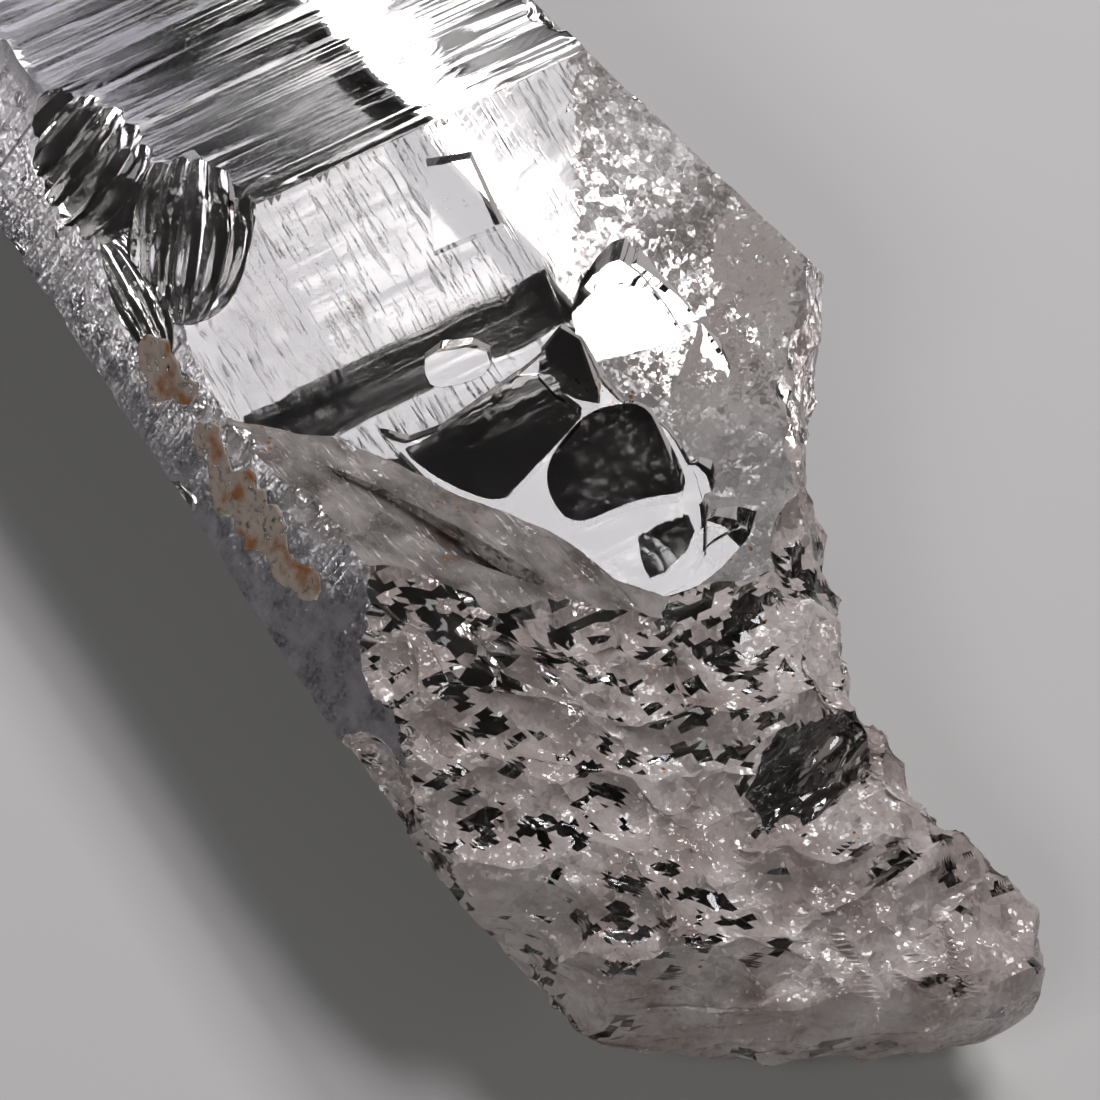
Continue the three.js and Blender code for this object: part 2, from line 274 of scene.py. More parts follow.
def room_above(xs: Array, ys: Array, floor: Array, ceiling: float, finish: Finish) -> Shell:
    """Everything above a height field: rings across it, closed over the top by a flat ceiling.

    Args:
        xs: The grid's places along the crystal, rising.
        ys: The grid's places across it, rising.
        floor: Heights, one row for each x and one column for each y.
        ceiling: The height of the flat top.
        finish: The finish that the room leaves on what it cuts.

    Returns:
        The closed shell of the room.
    """
    across, wide = np.meshgrid(ys, xs)
    ground = np.stack([wide, across, floor], axis=2)
    roof = np.empty((len(xs), 2, 3))
    roof[:, :, 0] = xs[:, None]
    roof[:, :, 1] = [ys[-1], ys[0]]
    roof[:, :, 2] = ceiling
    return loft(np.concatenate([ground, roof], axis=1), finish)


def ball_angles(rounds: int, downs: int) -> tuple[Array, Array]:
    """The two angles of a ball's surface on a grid that leaves out its poles.

    Args:
        rounds: Points round the ball.
        downs: Rings from pole to pole.

    Returns:
        The angle from the first pole and the angle round it, each as rings by points.
    """
    polar = np.linspace(0.0, math.pi, downs + 2)[1:-1]
    turn = np.arange(rounds) / rounds * 2.0 * math.pi
    return np.meshgrid(polar, turn, indexing="ij")


def dished_ball(rounds: int, downs: int, detail: float, seed: float) -> tuple[Array, Array]:
    """A unit ball, its poles along X, and the dishes over its surface.

    Args:
        rounds: Points round the ball.
        downs: Rings from pole to pole.
        detail: How many dishes lie along its radius.
        seed: Sets the dishes' places.

    Returns:
        Its points as rings by points by three coordinates, and the dishes' value at each.
    """
    polar, turn = ball_angles(rounds, downs)
    unit = np.stack([-np.cos(polar), np.sin(polar) * np.cos(turn), np.sin(polar) * np.sin(turn)], axis=2)
    return unit, dishes(unit.reshape(-1, 3) * detail, 1.0, seed).reshape(polar.shape)


def combine(body: bpy.types.Object, tool: bpy.types.Object, how: Cut) -> None:
    """Cuts one object with another, keeps the result and deletes the tool.

    Args:
        body: The object that is changed.
        tool: The object that it is worked on with.
        how: Take the tool away, or keep the common part.
    """
    modifier = body.modifiers.new(how.name, "BOOLEAN")
    modifier.object = tool
    modifier.operation = how.value
    modifier.solver = "MANIFOLD"
    bpy.context.view_layer.update()
    depsgraph = bpy.context.evaluated_depsgraph_get()
    result = bpy.data.meshes.new_from_object(body.evaluated_get(depsgraph), depsgraph=depsgraph)
    before = body.data
    body.modifiers.clear()
    body.data = result
    bpy.data.meshes.remove(before)
    spent = tool.data
    bpy.data.objects.remove(tool)
    bpy.data.meshes.remove(spent)


@dataclass(frozen=True)
class PrismFace:
    """One long face of the prism.

    Attributes:
        angle: The way it faces, from +Y towards +Z, in degrees.
        reach: Its distance from the growth axis at the waist.
        flare: How much the reach grows for each millimetre towards the root.
        ledged: Whether growth ledges run across it.
        finish: The finish of its surface.
    """

    angle: float
    reach: float
    flare: float
    ledged: bool = True
    finish: Finish = Finish.CLEAR


@dataclass(frozen=True)
class Prism:
    """The six-sided prism with its growth ledges and fine growth lines.

    Attributes:
        faces: The six faces in order of their angle.
        waist: The x at which the reaches are given.
        start: Where the prism starts, behind the root.
        end: Where it ends, beyond the tip.
        pitch_min: The least distance between two ledges.
        pitch_spread: How much more that distance may be.
        ledge_depth: The greatest depth of a ledge.
        ledge_run: The width of a ledge's riser.
        seed: Sets the ledges' places and depths.
        line_pitch: The least distance between two fine growth lines.
        line_spread: How much more it may be.
        line_rise: The width of a line's gentle side.
        line_drop: The width of its steep side.
        line_depth: The greatest height of a fine growth line.
        line_fade: The least share of that height, where the lines are faint.
        across: Where the points of a section stand along one face, from corner to corner.
    """

    faces: tuple[PrismFace, ...] = (
        PrismFace(90.0, 18.0, 0.026),
        PrismFace(150.0, 20.6, 0.157),
        PrismFace(210.0, 8.67, 0.157),
        PrismFace(270.0, 0.0, 0.0, ledged=False),
        PrismFace(330.0, 7.26, 0.027),
        PrismFace(30.0, 19.15, 0.027, finish=Finish.ETCHED),
    )
    waist: float = 20.0
    start: float = -42.0
    end: float = 84.0
    pitch_min: float = 1.1
    pitch_spread: float = 2.3
    ledge_depth: float = 0.15
    ledge_run: float = 0.22
    seed: float = 3.0
    line_pitch: float = 0.38
    line_spread: float = 0.5
    line_rise: float = 0.17
    line_drop: float = 0.04
    line_depth: float = 0.03
    line_fade: float = 0.28
    across: tuple[float, ...] = (0.0, 0.02, 0.2, 0.4, 0.6, 0.8, 0.98)

    def ledges(self) -> Array:
        """The x of every ledge: steps of the least pitch plus a random share of the spread."""
        places = []
        x = self.start + self.pitch_min
        while x < self.end - self.pitch_min:
            places.append(x)
            roll = float(chance(np.array(len(places)), 0.0, 0.0, self.seed))
            x += self.pitch_min + self.pitch_spread * roll**2
        return np.array(places)

    def sections(self) -> tuple[Array, Array, Array]:
        """The x of every section, the number of ledges passed there, and its line's crest.

        Each ledge gives a section on either side of its riser. Fine growth lines stand on the
        treads between them: each is a foot, a crest after its gentle side, and a foot again
        after its steep side.

        Returns:
            The places in rising order, the tread number of each, and 1 on a crest, 0 elsewhere.
        """
        ledges = self.ledges()
        treads = np.arange(len(ledges))
        count = int((self.end - self.start) / self.line_pitch)
        spread = self.line_spread * chance(np.arange(count), 1.0, 0.0, self.seed) ** 2
        feet = self.start + np.cumsum(self.line_pitch + spread)
        feet = feet[feet < self.end - 1.0]
        middle = feet + self.line_rise / 2
        nearest = np.abs(middle[:, None] - ledges).min(axis=1)
        feet = feet[nearest > self.ledge_run / 2 + self.line_rise]
        crests = feet + self.line_rise
        lines = np.concatenate([feet, crests, crests + self.line_drop])
        risers = np.concatenate([ledges - self.ledge_run / 2, ledges + self.ledge_run / 2])
        places = np.concatenate([[self.start], risers, lines, [self.end]])
        tread = np.concatenate([[0], treads, treads + 1, np.searchsorted(ledges, lines), [len(ledges)]])
        crest = np.zeros(len(places))
        crest[1 + len(risers) + len(feet) : 1 + len(risers) + 2 * len(feet)] = 1.0
        order = np.argsort(places, kind="stable")
        return places[order], tread[order], crest[order]

    def reaches(self, places: Array, tread: Array) -> Array:
        """Each face's distance at each place: its reach, less its flare, less its tread's depth.

        Args:
            places: Places along the crystal.
            tread: The number of ledges passed at each.

        Returns:
            Distances, one row for each place and one column for each face.
        """
        reach = np.empty((len(places), len(self.faces)))
        for index, face in enumerate(self.faces):
            reach[:, index] = face.reach - face.flare * (places - self.waist)
            if face.ledged:
                reach[:, index] -= self.ledge_depth * chance(tread, float(index), 1.0, self.seed) ** 2
        return reach

    def corners(self, reach: Array) -> Array:
        """Where each face line meets the next: places by six corners by two coordinates."""
        angles = np.radians([face.angle for face in self.faces])
        other = np.roll(reach, -1, axis=1)
        turned = np.roll(angles, -1)
        spread = np.sin(turned - angles)
        corner_y = (reach * np.sin(turned) - other * np.sin(angles)) / spread
        corner_z = (other * np.cos(angles) - reach * np.cos(turned)) / spread
        return np.stack([corner_y, corner_z], axis=2)

    def shell(self) -> Shell:
        """The prism's skin: at each section, the six face lines meet in corners.

        Between corners, the points of a section that is no crest stand inside the face by the
        height of its growth line, which drifts along the crystal.

        Returns:
            The closed shell.
        """
        places, tread, crest = self.sections()
        angles = np.radians([face.angle for face in self.faces])
        corners = self.corners(self.reaches(places, tread))
        number = np.cumsum(crest) - crest
        fine = np.zeros((len(places), 6))
        for index, face in enumerate(self.faces):
            if face.ledged:
                strength = np.clip(0.5 + 0.9 * drift(places * 0.16, 40.0 + index), self.line_fade, 1.0)
                height = self.line_depth * (0.3 + 0.7 * chance(number, float(index), 5.0, self.seed))
                fine[:, index] = (1.0 - crest) * strength * height
        ring = []
        columns = []
        for index in range(6):
            side = (index + 1) % 6
            low, high = corners[:, index], corners[:, side]
            inward = -np.array([np.cos(angles[side]), np.sin(angles[side])])
            for share in self.across:
                edge = share < 0.01
                depth = np.zeros(len(places)) if edge else fine[:, side]
                ring.append(low + (high - low) * share + inward * depth[:, None])
                columns.append(int(self.faces[side].finish))
        flat = np.stack(ring, axis=1)
        wide = np.repeat(places[:, None, None], flat.shape[1], axis=1)
        return loft(np.concatenate([wide, flat], axis=2), Finish.CLEAR, np.array(columns))


@dataclass(frozen=True)
class Tip:
    """The faces of the point: three large ones meet in the tip, and three small ones stand off.

    Attributes:
        at: The tip.
        lean: The angle between a face's outward direction and the crystal's length, in degrees.
        large: The ways the large faces lean, from +Y towards +Z.
        small: The ways the small faces lean.
        stand_off: How far outside the tip the small faces pass.
        size: The side of the block that cuts a face.
    """

    at: Point3 = (74.0, 3.4, 8.6)
    lean: float = 51.8
    large: tuple[float, ...] = (90.0, 210.0, 330.0)
    small: tuple[float, ...] = (30.0, 150.0, 270.0)
    stand_off: float = 1.9
    size: float = 140.0

    def cutter(self, angle: float, stand_off: float) -> Shell:
        """A block whose inner side is one face of the point.

        Its eight corners are the two ends of a square bar: a start point on the face plus or
        minus half a side along two directions in the face, then the same moved outwards.

        Args:
            angle: The way the face leans, from +Y towards +Z.
            stand_off: How far outside the tip the face passes.

        Returns:
            The closed block.
        """
        lean, turn = math.radians(self.lean), math.radians(angle)
        out = np.array([math.cos(lean), math.sin(lean) * math.cos(turn), math.sin(lean) * math.sin(turn)])
        side = np.cross(out, [1.0, 0.0, 0.0])
        side /= np.linalg.norm(side)
        up = np.cross(out, side)
        square = np.array([[1, 1], [-1, 1], [-1, -1], [1, -1]]) * self.size / 2
        base = np.array(self.at) + out * stand_off + square @ np.stack([side, up])
        return loft(np.stack([base, base + out * self.size]), Finish.CLEAR)

    def shells(self) -> list[Shell]:
        """The six blocks that cut the point."""
        large = [self.cutter(angle, 0.0) for angle in self.large]
        return large + [self.cutter(angle, self.stand_off) for angle in self.small]


@dataclass(frozen=True)
class RootLump:
    """The rough lump that the root was broken down to.

    Attributes:
        stations: Places along the crystal, each with the outline's +Y, -Y, upper and lower side.
        ring_step: The distance between rings.
        ring_points: Points in a ring.
        squareness: The power that makes the section squarer than an ellipse when below 1.
        seed: Sets the dishes' places.
        broad: Width and depth of the broad dishes.
        small: Width and depth of the small dishes.
        ripple: Spacing, height and wander of the curved ledges round the bowl.
        chips: Width and depth of the fine chips, which only the looks have.
        fully_rough: The x from which the relief is full.
        fade: The length over which it fades out towards the prism.
        least_rough: The share of the relief that is left beyond that.
        deepest_share: The greatest share of the way to the middle that a dish goes.
        beyond: The x of the last ring, past the tip.
    """

    stations: tuple[tuple[float, ...], ...] = (
        (-31.4, -3.0, -9.8, 8.8, 2.8),
        (-30.6, -0.8, -11.2, 10.4, 1.6),
        (-28.8, 3.8, -11.7, 11.6, 0.8),
        (-26.4, 8.4, -11.7, 12.2, 0.2),
        (-23.0, 13.0, -11.4, 13.6, -0.8),
        (-17.3, 15.6, -12.0, 15.6, -1.6),
        (-11.0, 17.8, -12.6, 17.2, -2.0),
        (-5.0, 19.6, -14.0, 18.6, -2.6),
        (0.0, 21.5, -16.6, 20.6, -3.2),
        (6.5, 24.0, -20.8, 24.0, -4.0),
        (14.0, 27.0, -27.0, 28.0, -6.0),
    )
    ring_step: float = 0.3
    ring_points: int = 300
    squareness: float = 0.72
    seed: float = 11.0
    broad: tuple[float, float] = (8.0, 3.4)
    small: tuple[float, float] = (3.3, 1.5)
    ripple: tuple[float, float, float] = (3.6, 0.55, 2.6)
    chips: tuple[tuple[float, float], ...] = ((2.3, 0.75), (0.9, 0.26))
    fully_rough: float = -7.0
    fade: float = 12.0
    least_rough: float = 0.15
    deepest_share: float = 0.4
    beyond: float = 85.0

    def relief(self, points: Array) -> Array:
        """How far the break goes in at each point: dishes of two sizes and curved ledges.

        The ledges are a saw-tooth of the distance from the bowl's middle, shifted by the broad
        dishes. The sum fades out towards the prism.

        Args:
            points: Places on the outline of the lump.

        Returns:
            Depths in millimetres.
        """
        shallow = 1.0 - dishes(points, self.broad[0], self.seed)
        depth = self.broad[1] * shallow
        depth += self.small[1] * (1.0 - dishes(points, self.small[0], self.seed + 5))
        ring = (np.hypot(points[:, 0], points[:, 1]) + self.ripple[2] * shallow) / self.ripple[0]
        part = ring - np.floor(ring)
        depth += self.ripple[1] * np.minimum(part, (1.0 - part) * 7.0)
        fade = np.clip(1.0 - (points[:, 0] - self.fully_rough) / self.fade, self.least_rough, 1.0)
        return fade * depth

    def chipping(self, points: Array) -> Array:
        """The fine chips' depth: two sizes of small dishes, drawn out round the bowl.

        They are counted in the distance from the bowl's middle and the way round it, and are
        fainter on the rounded lumps at the very end.

        Args:
            points: Places on the broken surface.

        Returns:
            Depths in millimetres, inwards.
        """
        far = np.hypot(points[:, 0], points[:, 1])
        way_round = np.arctan2(points[:, 1], points[:, 0]) * 9.0
        round_bowl = np.stack([far, way_round, points[:, 2] * 1.4], axis=1)
        depth = np.zeros(len(points))
        for number, (width, deep) in enumerate(self.chips):
            depth += deep * (1.0 - dishes(round_bowl, width, self.seed + 30 + 10 * number))
        return depth * np.clip((points[:, 0] - self.stations[0][0] - 1.0) / 7.0, 0.3, 1.0)

    def shell(self) -> Shell:
        """The lump's skin: squared ellipses along x, worked in along their spokes by the relief.

        The rings stand at equal steps of the outline's own length. The fine chips then go in
        along the surface's normals, which are the cross products of its two grid directions.

        Returns:
            The closed shell.
        """
        x, *sides = np.array(self.stations).T
        width = (sides[0] - sides[1] + sides[2] - sides[3]) / 4
        length = np.concatenate([[0.0], np.cumsum(np.hypot(np.diff(x), np.diff(width)))])
        count = round(length[-1] / self.ring_step)
        places = np.interp(np.linspace(0.0, length[-1], count + 1), length, x)
        left, right, top, bottom = (np.interp(places, x, side) for side in sides)
        turn = np.arange(self.ring_points) / self.ring_points * 2.0 * math.pi
        across = np.sign(np.cos(turn)) * np.abs(np.cos(turn)) ** self.squareness
        up = np.sign(np.sin(turn)) * np.abs(np.sin(turn)) ** self.squareness
        spokes = np.zeros((len(places), self.ring_points, 3))
        spokes[:, :, 1] = ((left - right) / 2)[:, None] * across
        spokes[:, :, 2] = ((top - bottom) / 2)[:, None] * up
        centres = np.stack([places, (left + right) / 2, (top + bottom) / 2], axis=1)[:, None, :]
        surface = (centres + spokes).reshape(-1, 3)
        length = np.linalg.norm(spokes, axis=2).ravel()
        inward = np.minimum(self.relief(surface), length * self.deepest_share)
        surface -= spokes.reshape(-1, 3) * (inward / length)[:, None]
        rings = surface.reshape(len(places), self.ring_points, 3)
        along = np.gradient(rings, axis=0)
        about = np.roll(rings, -1, axis=1) - np.roll(rings, 1, axis=1)
        normal = np.cross(about, along)
        normal /= np.maximum(np.linalg.norm(normal, axis=2), 1e-9)[:, :, None]
        rings = rings - normal * self.chipping(surface).reshape(rings.shape[:2])[:, :, None]
        far = rings[-1:].copy()
        far[:, :, 0] = self.beyond
        return loft(np.concatenate([rings, far]), Finish.MILKY)


@dataclass(frozen=True)
class BowlWall:
    """One wall of the fracture bowl, rising from its foot in a direction.

    Attributes:
        foot: A point on its foot line.
        heading: The direction of its rise in plan, from +X towards +Y, in degrees.
        rise: Its slope.
        lumps: The height of its lumps.
        finish: The finish of its surface.
    """

    foot: Point3
    heading: float
    rise: float
    lumps: float
    finish: Finish


@dataclass(frozen=True)
class Scar:
    """A shallow pan broken out below an outline.

    Attributes:
        outline: Its corners seen from above, in growth-frame millimetres.
        level: The height of its floor at the middle of the outline.
        rise: How much the floor rises for each millimetre along X and along Y.
        hollow: The curvature of the floor, for each millimetre.
        rounding: How many times the corners are cut off the outline.
        ripple: The height of the ripples on the floor.
        finish: The finish of its floor.
    """

    outline: tuple[tuple[float, float], ...]
    level: float
    rise: tuple[float, float]
    hollow: float = 0.0
    rounding: int = 1
    ripple: float = 0.0
    finish: Finish = Finish.GLASSY

    POINTS: ClassVar[int] = 90
    RINGS: ClassVar[int] = 22
    HEIGHT: ClassVar[float] = 12.0

    def rim(self) -> Array:
        """The outline as evenly spaced points, against the clock, with its corners cut."""
        corners = np.array(self.outline)
        after = np.roll(corners, -1, axis=0)
        if (corners[:, 0] * after[:, 1] - corners[:, 1] * after[:, 0]).sum() < 0:
            corners = corners[::-1]
        for _ in range(self.rounding):
            after = np.roll(corners, -1, axis=0)
            corners = np.stack([0.75 * corners + 0.25 * after, 0.25 * corners + 0.75 * after], 1)
            corners = corners.reshape(-1, 2)
        closed = np.concatenate([corners, corners[:1]])
        length = np.concatenate([[0.0], np.cumsum(np.linalg.norm(np.diff(closed, axis=0), axis=1))])
        even = np.arange(self.POINTS) / self.POINTS * length[-1]
        return np.stack([np.interp(even, length, closed[:, axis]) for axis in range(2)], axis=1)

    def shell(self) -> Shell:
        """The pan: its floor on shares of the rim's spokes, and walls carried straight up.

        The floor is its level, plus its rise, plus half its hollow times the squared distance
        from the middle, plus a sine of that distance for the ripples.

        Returns:
            The closed shell.
        """
        rim = self.rim()
        middle = rim.mean(axis=0)
        share = np.linspace(0.02, 1.0, self.RINGS)[:, None, None]
        spoke = (rim - middle) * share
        square = (spoke**2).sum(axis=2)
        floor = self.level + spoke @ np.array(self.rise) + self.hollow / 2 * square
        wave = 6.0 * np.sqrt(square) + 1.5 * drift(spoke[:, :, 0] + 3.0 * spoke[:, :, 1], 60.0)
        floor = floor + self.ripple * np.sin(wave)
        pan = np.concatenate([spoke + middle, floor[:, :, None]], axis=2)
        lid = pan[-1:].copy()
        lid[:, :, 2] = self.level + self.HEIGHT
        return loft(np.concatenate([pan, lid]), self.finish)


@dataclass(frozen=True)
class FractureBowl:
    """The big break across the root: a far slope with two ledges, three walls and their scars.

    Attributes:
        slope_x: Where the far slope's lines cross the crystal.
        slope_z: The height of each line.
        overhang: How far past the last line the cutter rises.
        ceiling: The height of the cutters' tops.
        reach: Half the side of the walls' square grids.
        walls: The walls.
        wall_seed: Sets the walls' lumps.
        lump_width: The width of a lump.
        scars: The shallow pans broken out of it, the broadest first.
        grid_step: The distance between points of the walls and of the slope.
    """

    slope_x: tuple[float, ...] = (-20.0, -8.0, 2.5, 5.8, 8.0, 10.2, 19.8)
    slope_z: tuple[float, ...] = (11.5, 12.3, 13.3, 14.25, 14.5, 15.7, 18.0)
    overhang: float = 0.5
    ceiling: float = 45.0
    reach: float = 34.0
    walls: tuple[BowlWall, ...] = (
        BowlWall((5.1, 6.2, 13.9), 115.0, 0.5, 0.25, Finish.SILKY),
        BowlWall((-7.6, -2.0, 12.9), 178.0, 0.72, 0.5, Finish.MILKY),
        BowlWall((0.0, -9.0, 13.3), 252.0, 0.4, 0.6, Finish.FROSTED),
    )
    wall_seed: float = 11.0
    lump_width: float = 3.3
    scars: tuple[Scar, ...] = (
        Scar(
            ((7.8, 6.2), (5.9, 4.5), (6.9, -2.7), (8.5, -6.0), (3.7, -5.4), (1.9, -7.2), (-2.5, -7.0))
            + ((-6.3, -4.5), (-6.2, -0.1), (-1.5, 0.8), (1.0, 2.9), (3.5, 5.0), (6.2, 5.8)),
            13.1,
            (0.15, 0.0),
            ripple=0.002,
        ),
        Scar(
            ((6.0, 4.3), (6.6, 0.5), (7.1, -2.7), (5.0, -3.5), (3.8, -4.0), (3.1, -2.1), (2.1, 0.9))
            + ((1.5, 2.5), (3.6, 4.4), (6.2, 5.5)),
            12.95,
            (0.36, 0.03),
            hollow=0.012,
            ripple=0.003,
        ),
        Scar(((7.1, -2.7), (8.5, -6.0), (3.5, -5.2), (4.9, -3.4)), 13.2, (0.4, -0.08), hollow=0.01),
        Scar(
            ((3.2, -2.3), (3.8, -4.3), (3.1, -6.9), (1.1, -6.9), (-2.2, -6.4), (-1.5, -4.6), (-1.2, -3.0))
            + ((-1.1, -0.1), (0.6, 0.2), (2.2, -0.5)),
            12.2,
            (0.38, 0.0),
            hollow=0.02,
            rounding=2,
            ripple=0.003,
        ),
        Scar(((-1.9, -3.2), (-2.7, -5.6), (-4.4, -5.3), (-5.4, -2.0), (-4.1, -2.1)), 12.1, (0.38, 0.0), 0.03),
        Scar(((9.9, 1.8), (9.0, -1.4), (7.4, -0.7), (7.7, 1.9), (8.4, 2.7)), 14.45, (0.17, 0.02)),
        Scar(
            ((9.1, -6.4), (10.4, -9.1), (10.2, -10.5), (5.5, -10.6), (2.9, -9.5), (1.6, -6.9))
            + ((3.2, -4.9), (7.9, -5.6)),
            14.0,
            (-0.04, 0.05),
            ripple=0.004,
        ),
        Scar(
            ((9.9, -10.5), (8.5, -11.0), (6.3, -11.5), (2.3, -11.4), (1.4, -10.5), (4.1, -10.3))
            + ((7.1, -10.0), (9.0, -10.0)),
            14.1,
            (-0.04, 0.05),
        ),
        Scar(
            ((-6.5, -0.8), (-5.1, -2.7), (-5.4, -4.2), (-4.8, -6.2), (-5.0, -8.0), (-6.2, -7.2))
            + ((-7.0, -4.2),),
            12.2,
            (0.1, 0.02),
        ),
        Scar(((-3.6, -6.1), (-4.7, -7.7), (-6.0, -7.5), (-6.2, -5.9), (-4.9, -5.0)), 12.5, (0.12, 0.04)),
        Scar(((-0.6, -6.1), (-1.1, -8.0), (-3.0, -7.3), (-2.6, -6.0)), 12.6, (0.12, -0.02)),
        Scar(
            ((6.4, 9.9), (3.9, 7.8), (0.6, 5.9), (-3.9, 3.7), (-4.3, 4.4), (-1.4, 7.2), (3.3, 9.3)),
            14.3,
            (-0.05, 0.42),
            finish=Finish.SILKY,
            rounding=0,
        ),
    )
    grid_step: float = 0.4

    def slope(self) -> Shell:
        """The room over the far slope: straight pieces between lines, with wandering ledges.

        Each row of the grid stands on a line or between two, and is shifted along the crystal
        by a smooth wander that is nothing at the straight upper edge.

        Returns:
            The closed shell of the room.
        """
        parts = [
            np.linspace(low, high, max(2, int((high - low) / self.grid_step)), endpoint=False)
            for low, high in zip(self.slope_x, self.slope_x[1:])
        ]
        edge = self.slope_x[-1]
        xs = np.concatenate([*parts, [edge, edge + self.overhang]])
        ys = np.arange(-self.reach, self.reach, self.grid_step)
        heights = np.interp(xs, self.slope_x, self.slope_z)
        wave = 0.016 * drift(ys * 0.5, 5.0) + 0.002 * drift(ys * 2.7, 6.0)
        floor = heights[:, None] + wave * np.clip((edge - xs) / 3.0, 0.0, 1.0)[:, None]
        floor[-1] = self.ceiling - 1.0
        shell = room_above(xs, ys, floor, self.ceiling, Finish.HATCHED)
        away = np.clip((edge - shell.points[:, 0]) / 5.0, 0.0, 1.0)
        shell.points[:, 0] += away * 0.12 * drift(shell.points[:, 1] * 0.8, 9.0)
        return shell

    def wall(self, wall: BowlWall, number: int) -> Shell:
        """The room inside one wall: a slope away from its foot, plus dished lumps and fine chips.

        Args:
            wall: The wall.
            number: Its place in the list, which sets its pattern.

        Returns:
            The closed shell of the room.
        """
        heading = math.radians(wall.heading)
        axis = np.arange(-self.reach, self.reach, self.grid_step)
        wide, across = np.meshgrid(axis, axis, indexing="ij")
        out = (wide - wall.foot[0]) * math.cos(heading) + (across - wall.foot[1]) * math.sin(heading)
        ground = np.stack([wide.ravel(), across.ravel(), np.zeros(wide.size)], axis=1)
        relief = wall.lumps * dishes(ground, self.lump_width, self.wall_seed + 20 * number)
        relief += 0.55 * wall.lumps * dishes(ground * np.array([1.0, 0.5, 1.0]), 1.1, 80.0 + number)
        floor = wall.foot[2] + wall.rise * out + relief.reshape(wide.shape)
        floor = np.minimum(floor, self.ceiling - 2.0)
        return room_above(axis, axis, floor, self.ceiling, wall.finish)


@dataclass(frozen=True)
class Pit:
    """The small sharp-edged pit in the far slope: its corners and the line its floor follows."""

    corners: tuple[tuple[float, float], ...] = ((17.9, -3.1), (17.3, -5.4), (13.5, -5.0), (13.7, -1.0))
    floor_x: float = 15.0
    floor_z: float = 16.15
    floor_rise: float = 0.26
    height: float = 10.0

    def shell(self) -> Shell:
        """The pit: its four corners carried from a sloping floor to a level above the crystal."""
        corners = np.array(self.corners)[::-1]
        low = self.floor_z + self.floor_rise * (corners[:, 0] - self.floor_x)
        base = np.concatenate([corners, low[:, None]], axis=1)
        lid = base + np.array([0.0, 0.0, self.height])
        return loft(np.stack([base, lid]), Finish.GLASSY).facing_out()


@dataclass(frozen=True)
class EdgeChip:
    """A fluted shell-shaped chip on the upper left edge.

    Attributes:
        at: The middle of its scoop.
        flow: The way its flutes run.
        half: Half sizes across the flutes, along them and into the crystal.
        flutes: How many flutes go round the whole scoop.
        facing: The way out of the crystal.
        flute_depth: The depth of a flute as a share of the half size.
    """

    at: Point3
    flow: Point3
    half: Point3
    flutes: int
    facing: Point3 = (0.0, 0.5, 0.866)
    flute_depth: float = 0.06

    def shell(self) -> Shell:
        """The scoop: a ball stretched to its half sizes, with flutes from pole to pole.

        The ball's radius across the poles swells with a cosine of the turn, with a second finer
        one, and with the sharpness of the flutes' crests; the poles lie along the flow.

        Returns:
            The closed scoop.
        """
        flow = np.array(self.flow) / np.linalg.norm(self.flow)
        across = np.cross(flow, self.facing)
        across /= np.linalg.norm(across)
        out = np.cross(across, flow)
        polar, turn = ball_angles(14 * self.flutes, 90)
        bend = 0.5 * drift(polar * 4.0, self.flutes) / self.flutes
        wave = np.abs(np.cos(self.flutes / 2.0 * (turn + bend))) * 2.0 - 1.0
        fine = np.cos(3.0 * self.flutes * (turn - bend) + 2.0 * drift(turn * 5.0, 3.0))
        swell = 1.0 + self.flute_depth * wave + 0.18 * self.flute_depth * fine
        local = np.stack(
            [
                self.half[0] * np.sin(polar) * np.cos(turn) * swell,
                -self.half[1] * np.cos(polar),
                self.half[2] * np.sin(polar) * np.sin(turn) * swell,
            ],
            axis=2,
        )
        place = local @ np.stack([across, flow, out]) + np.array(self.at)
        return loft(place, Finish.GLASSY).facing_out()


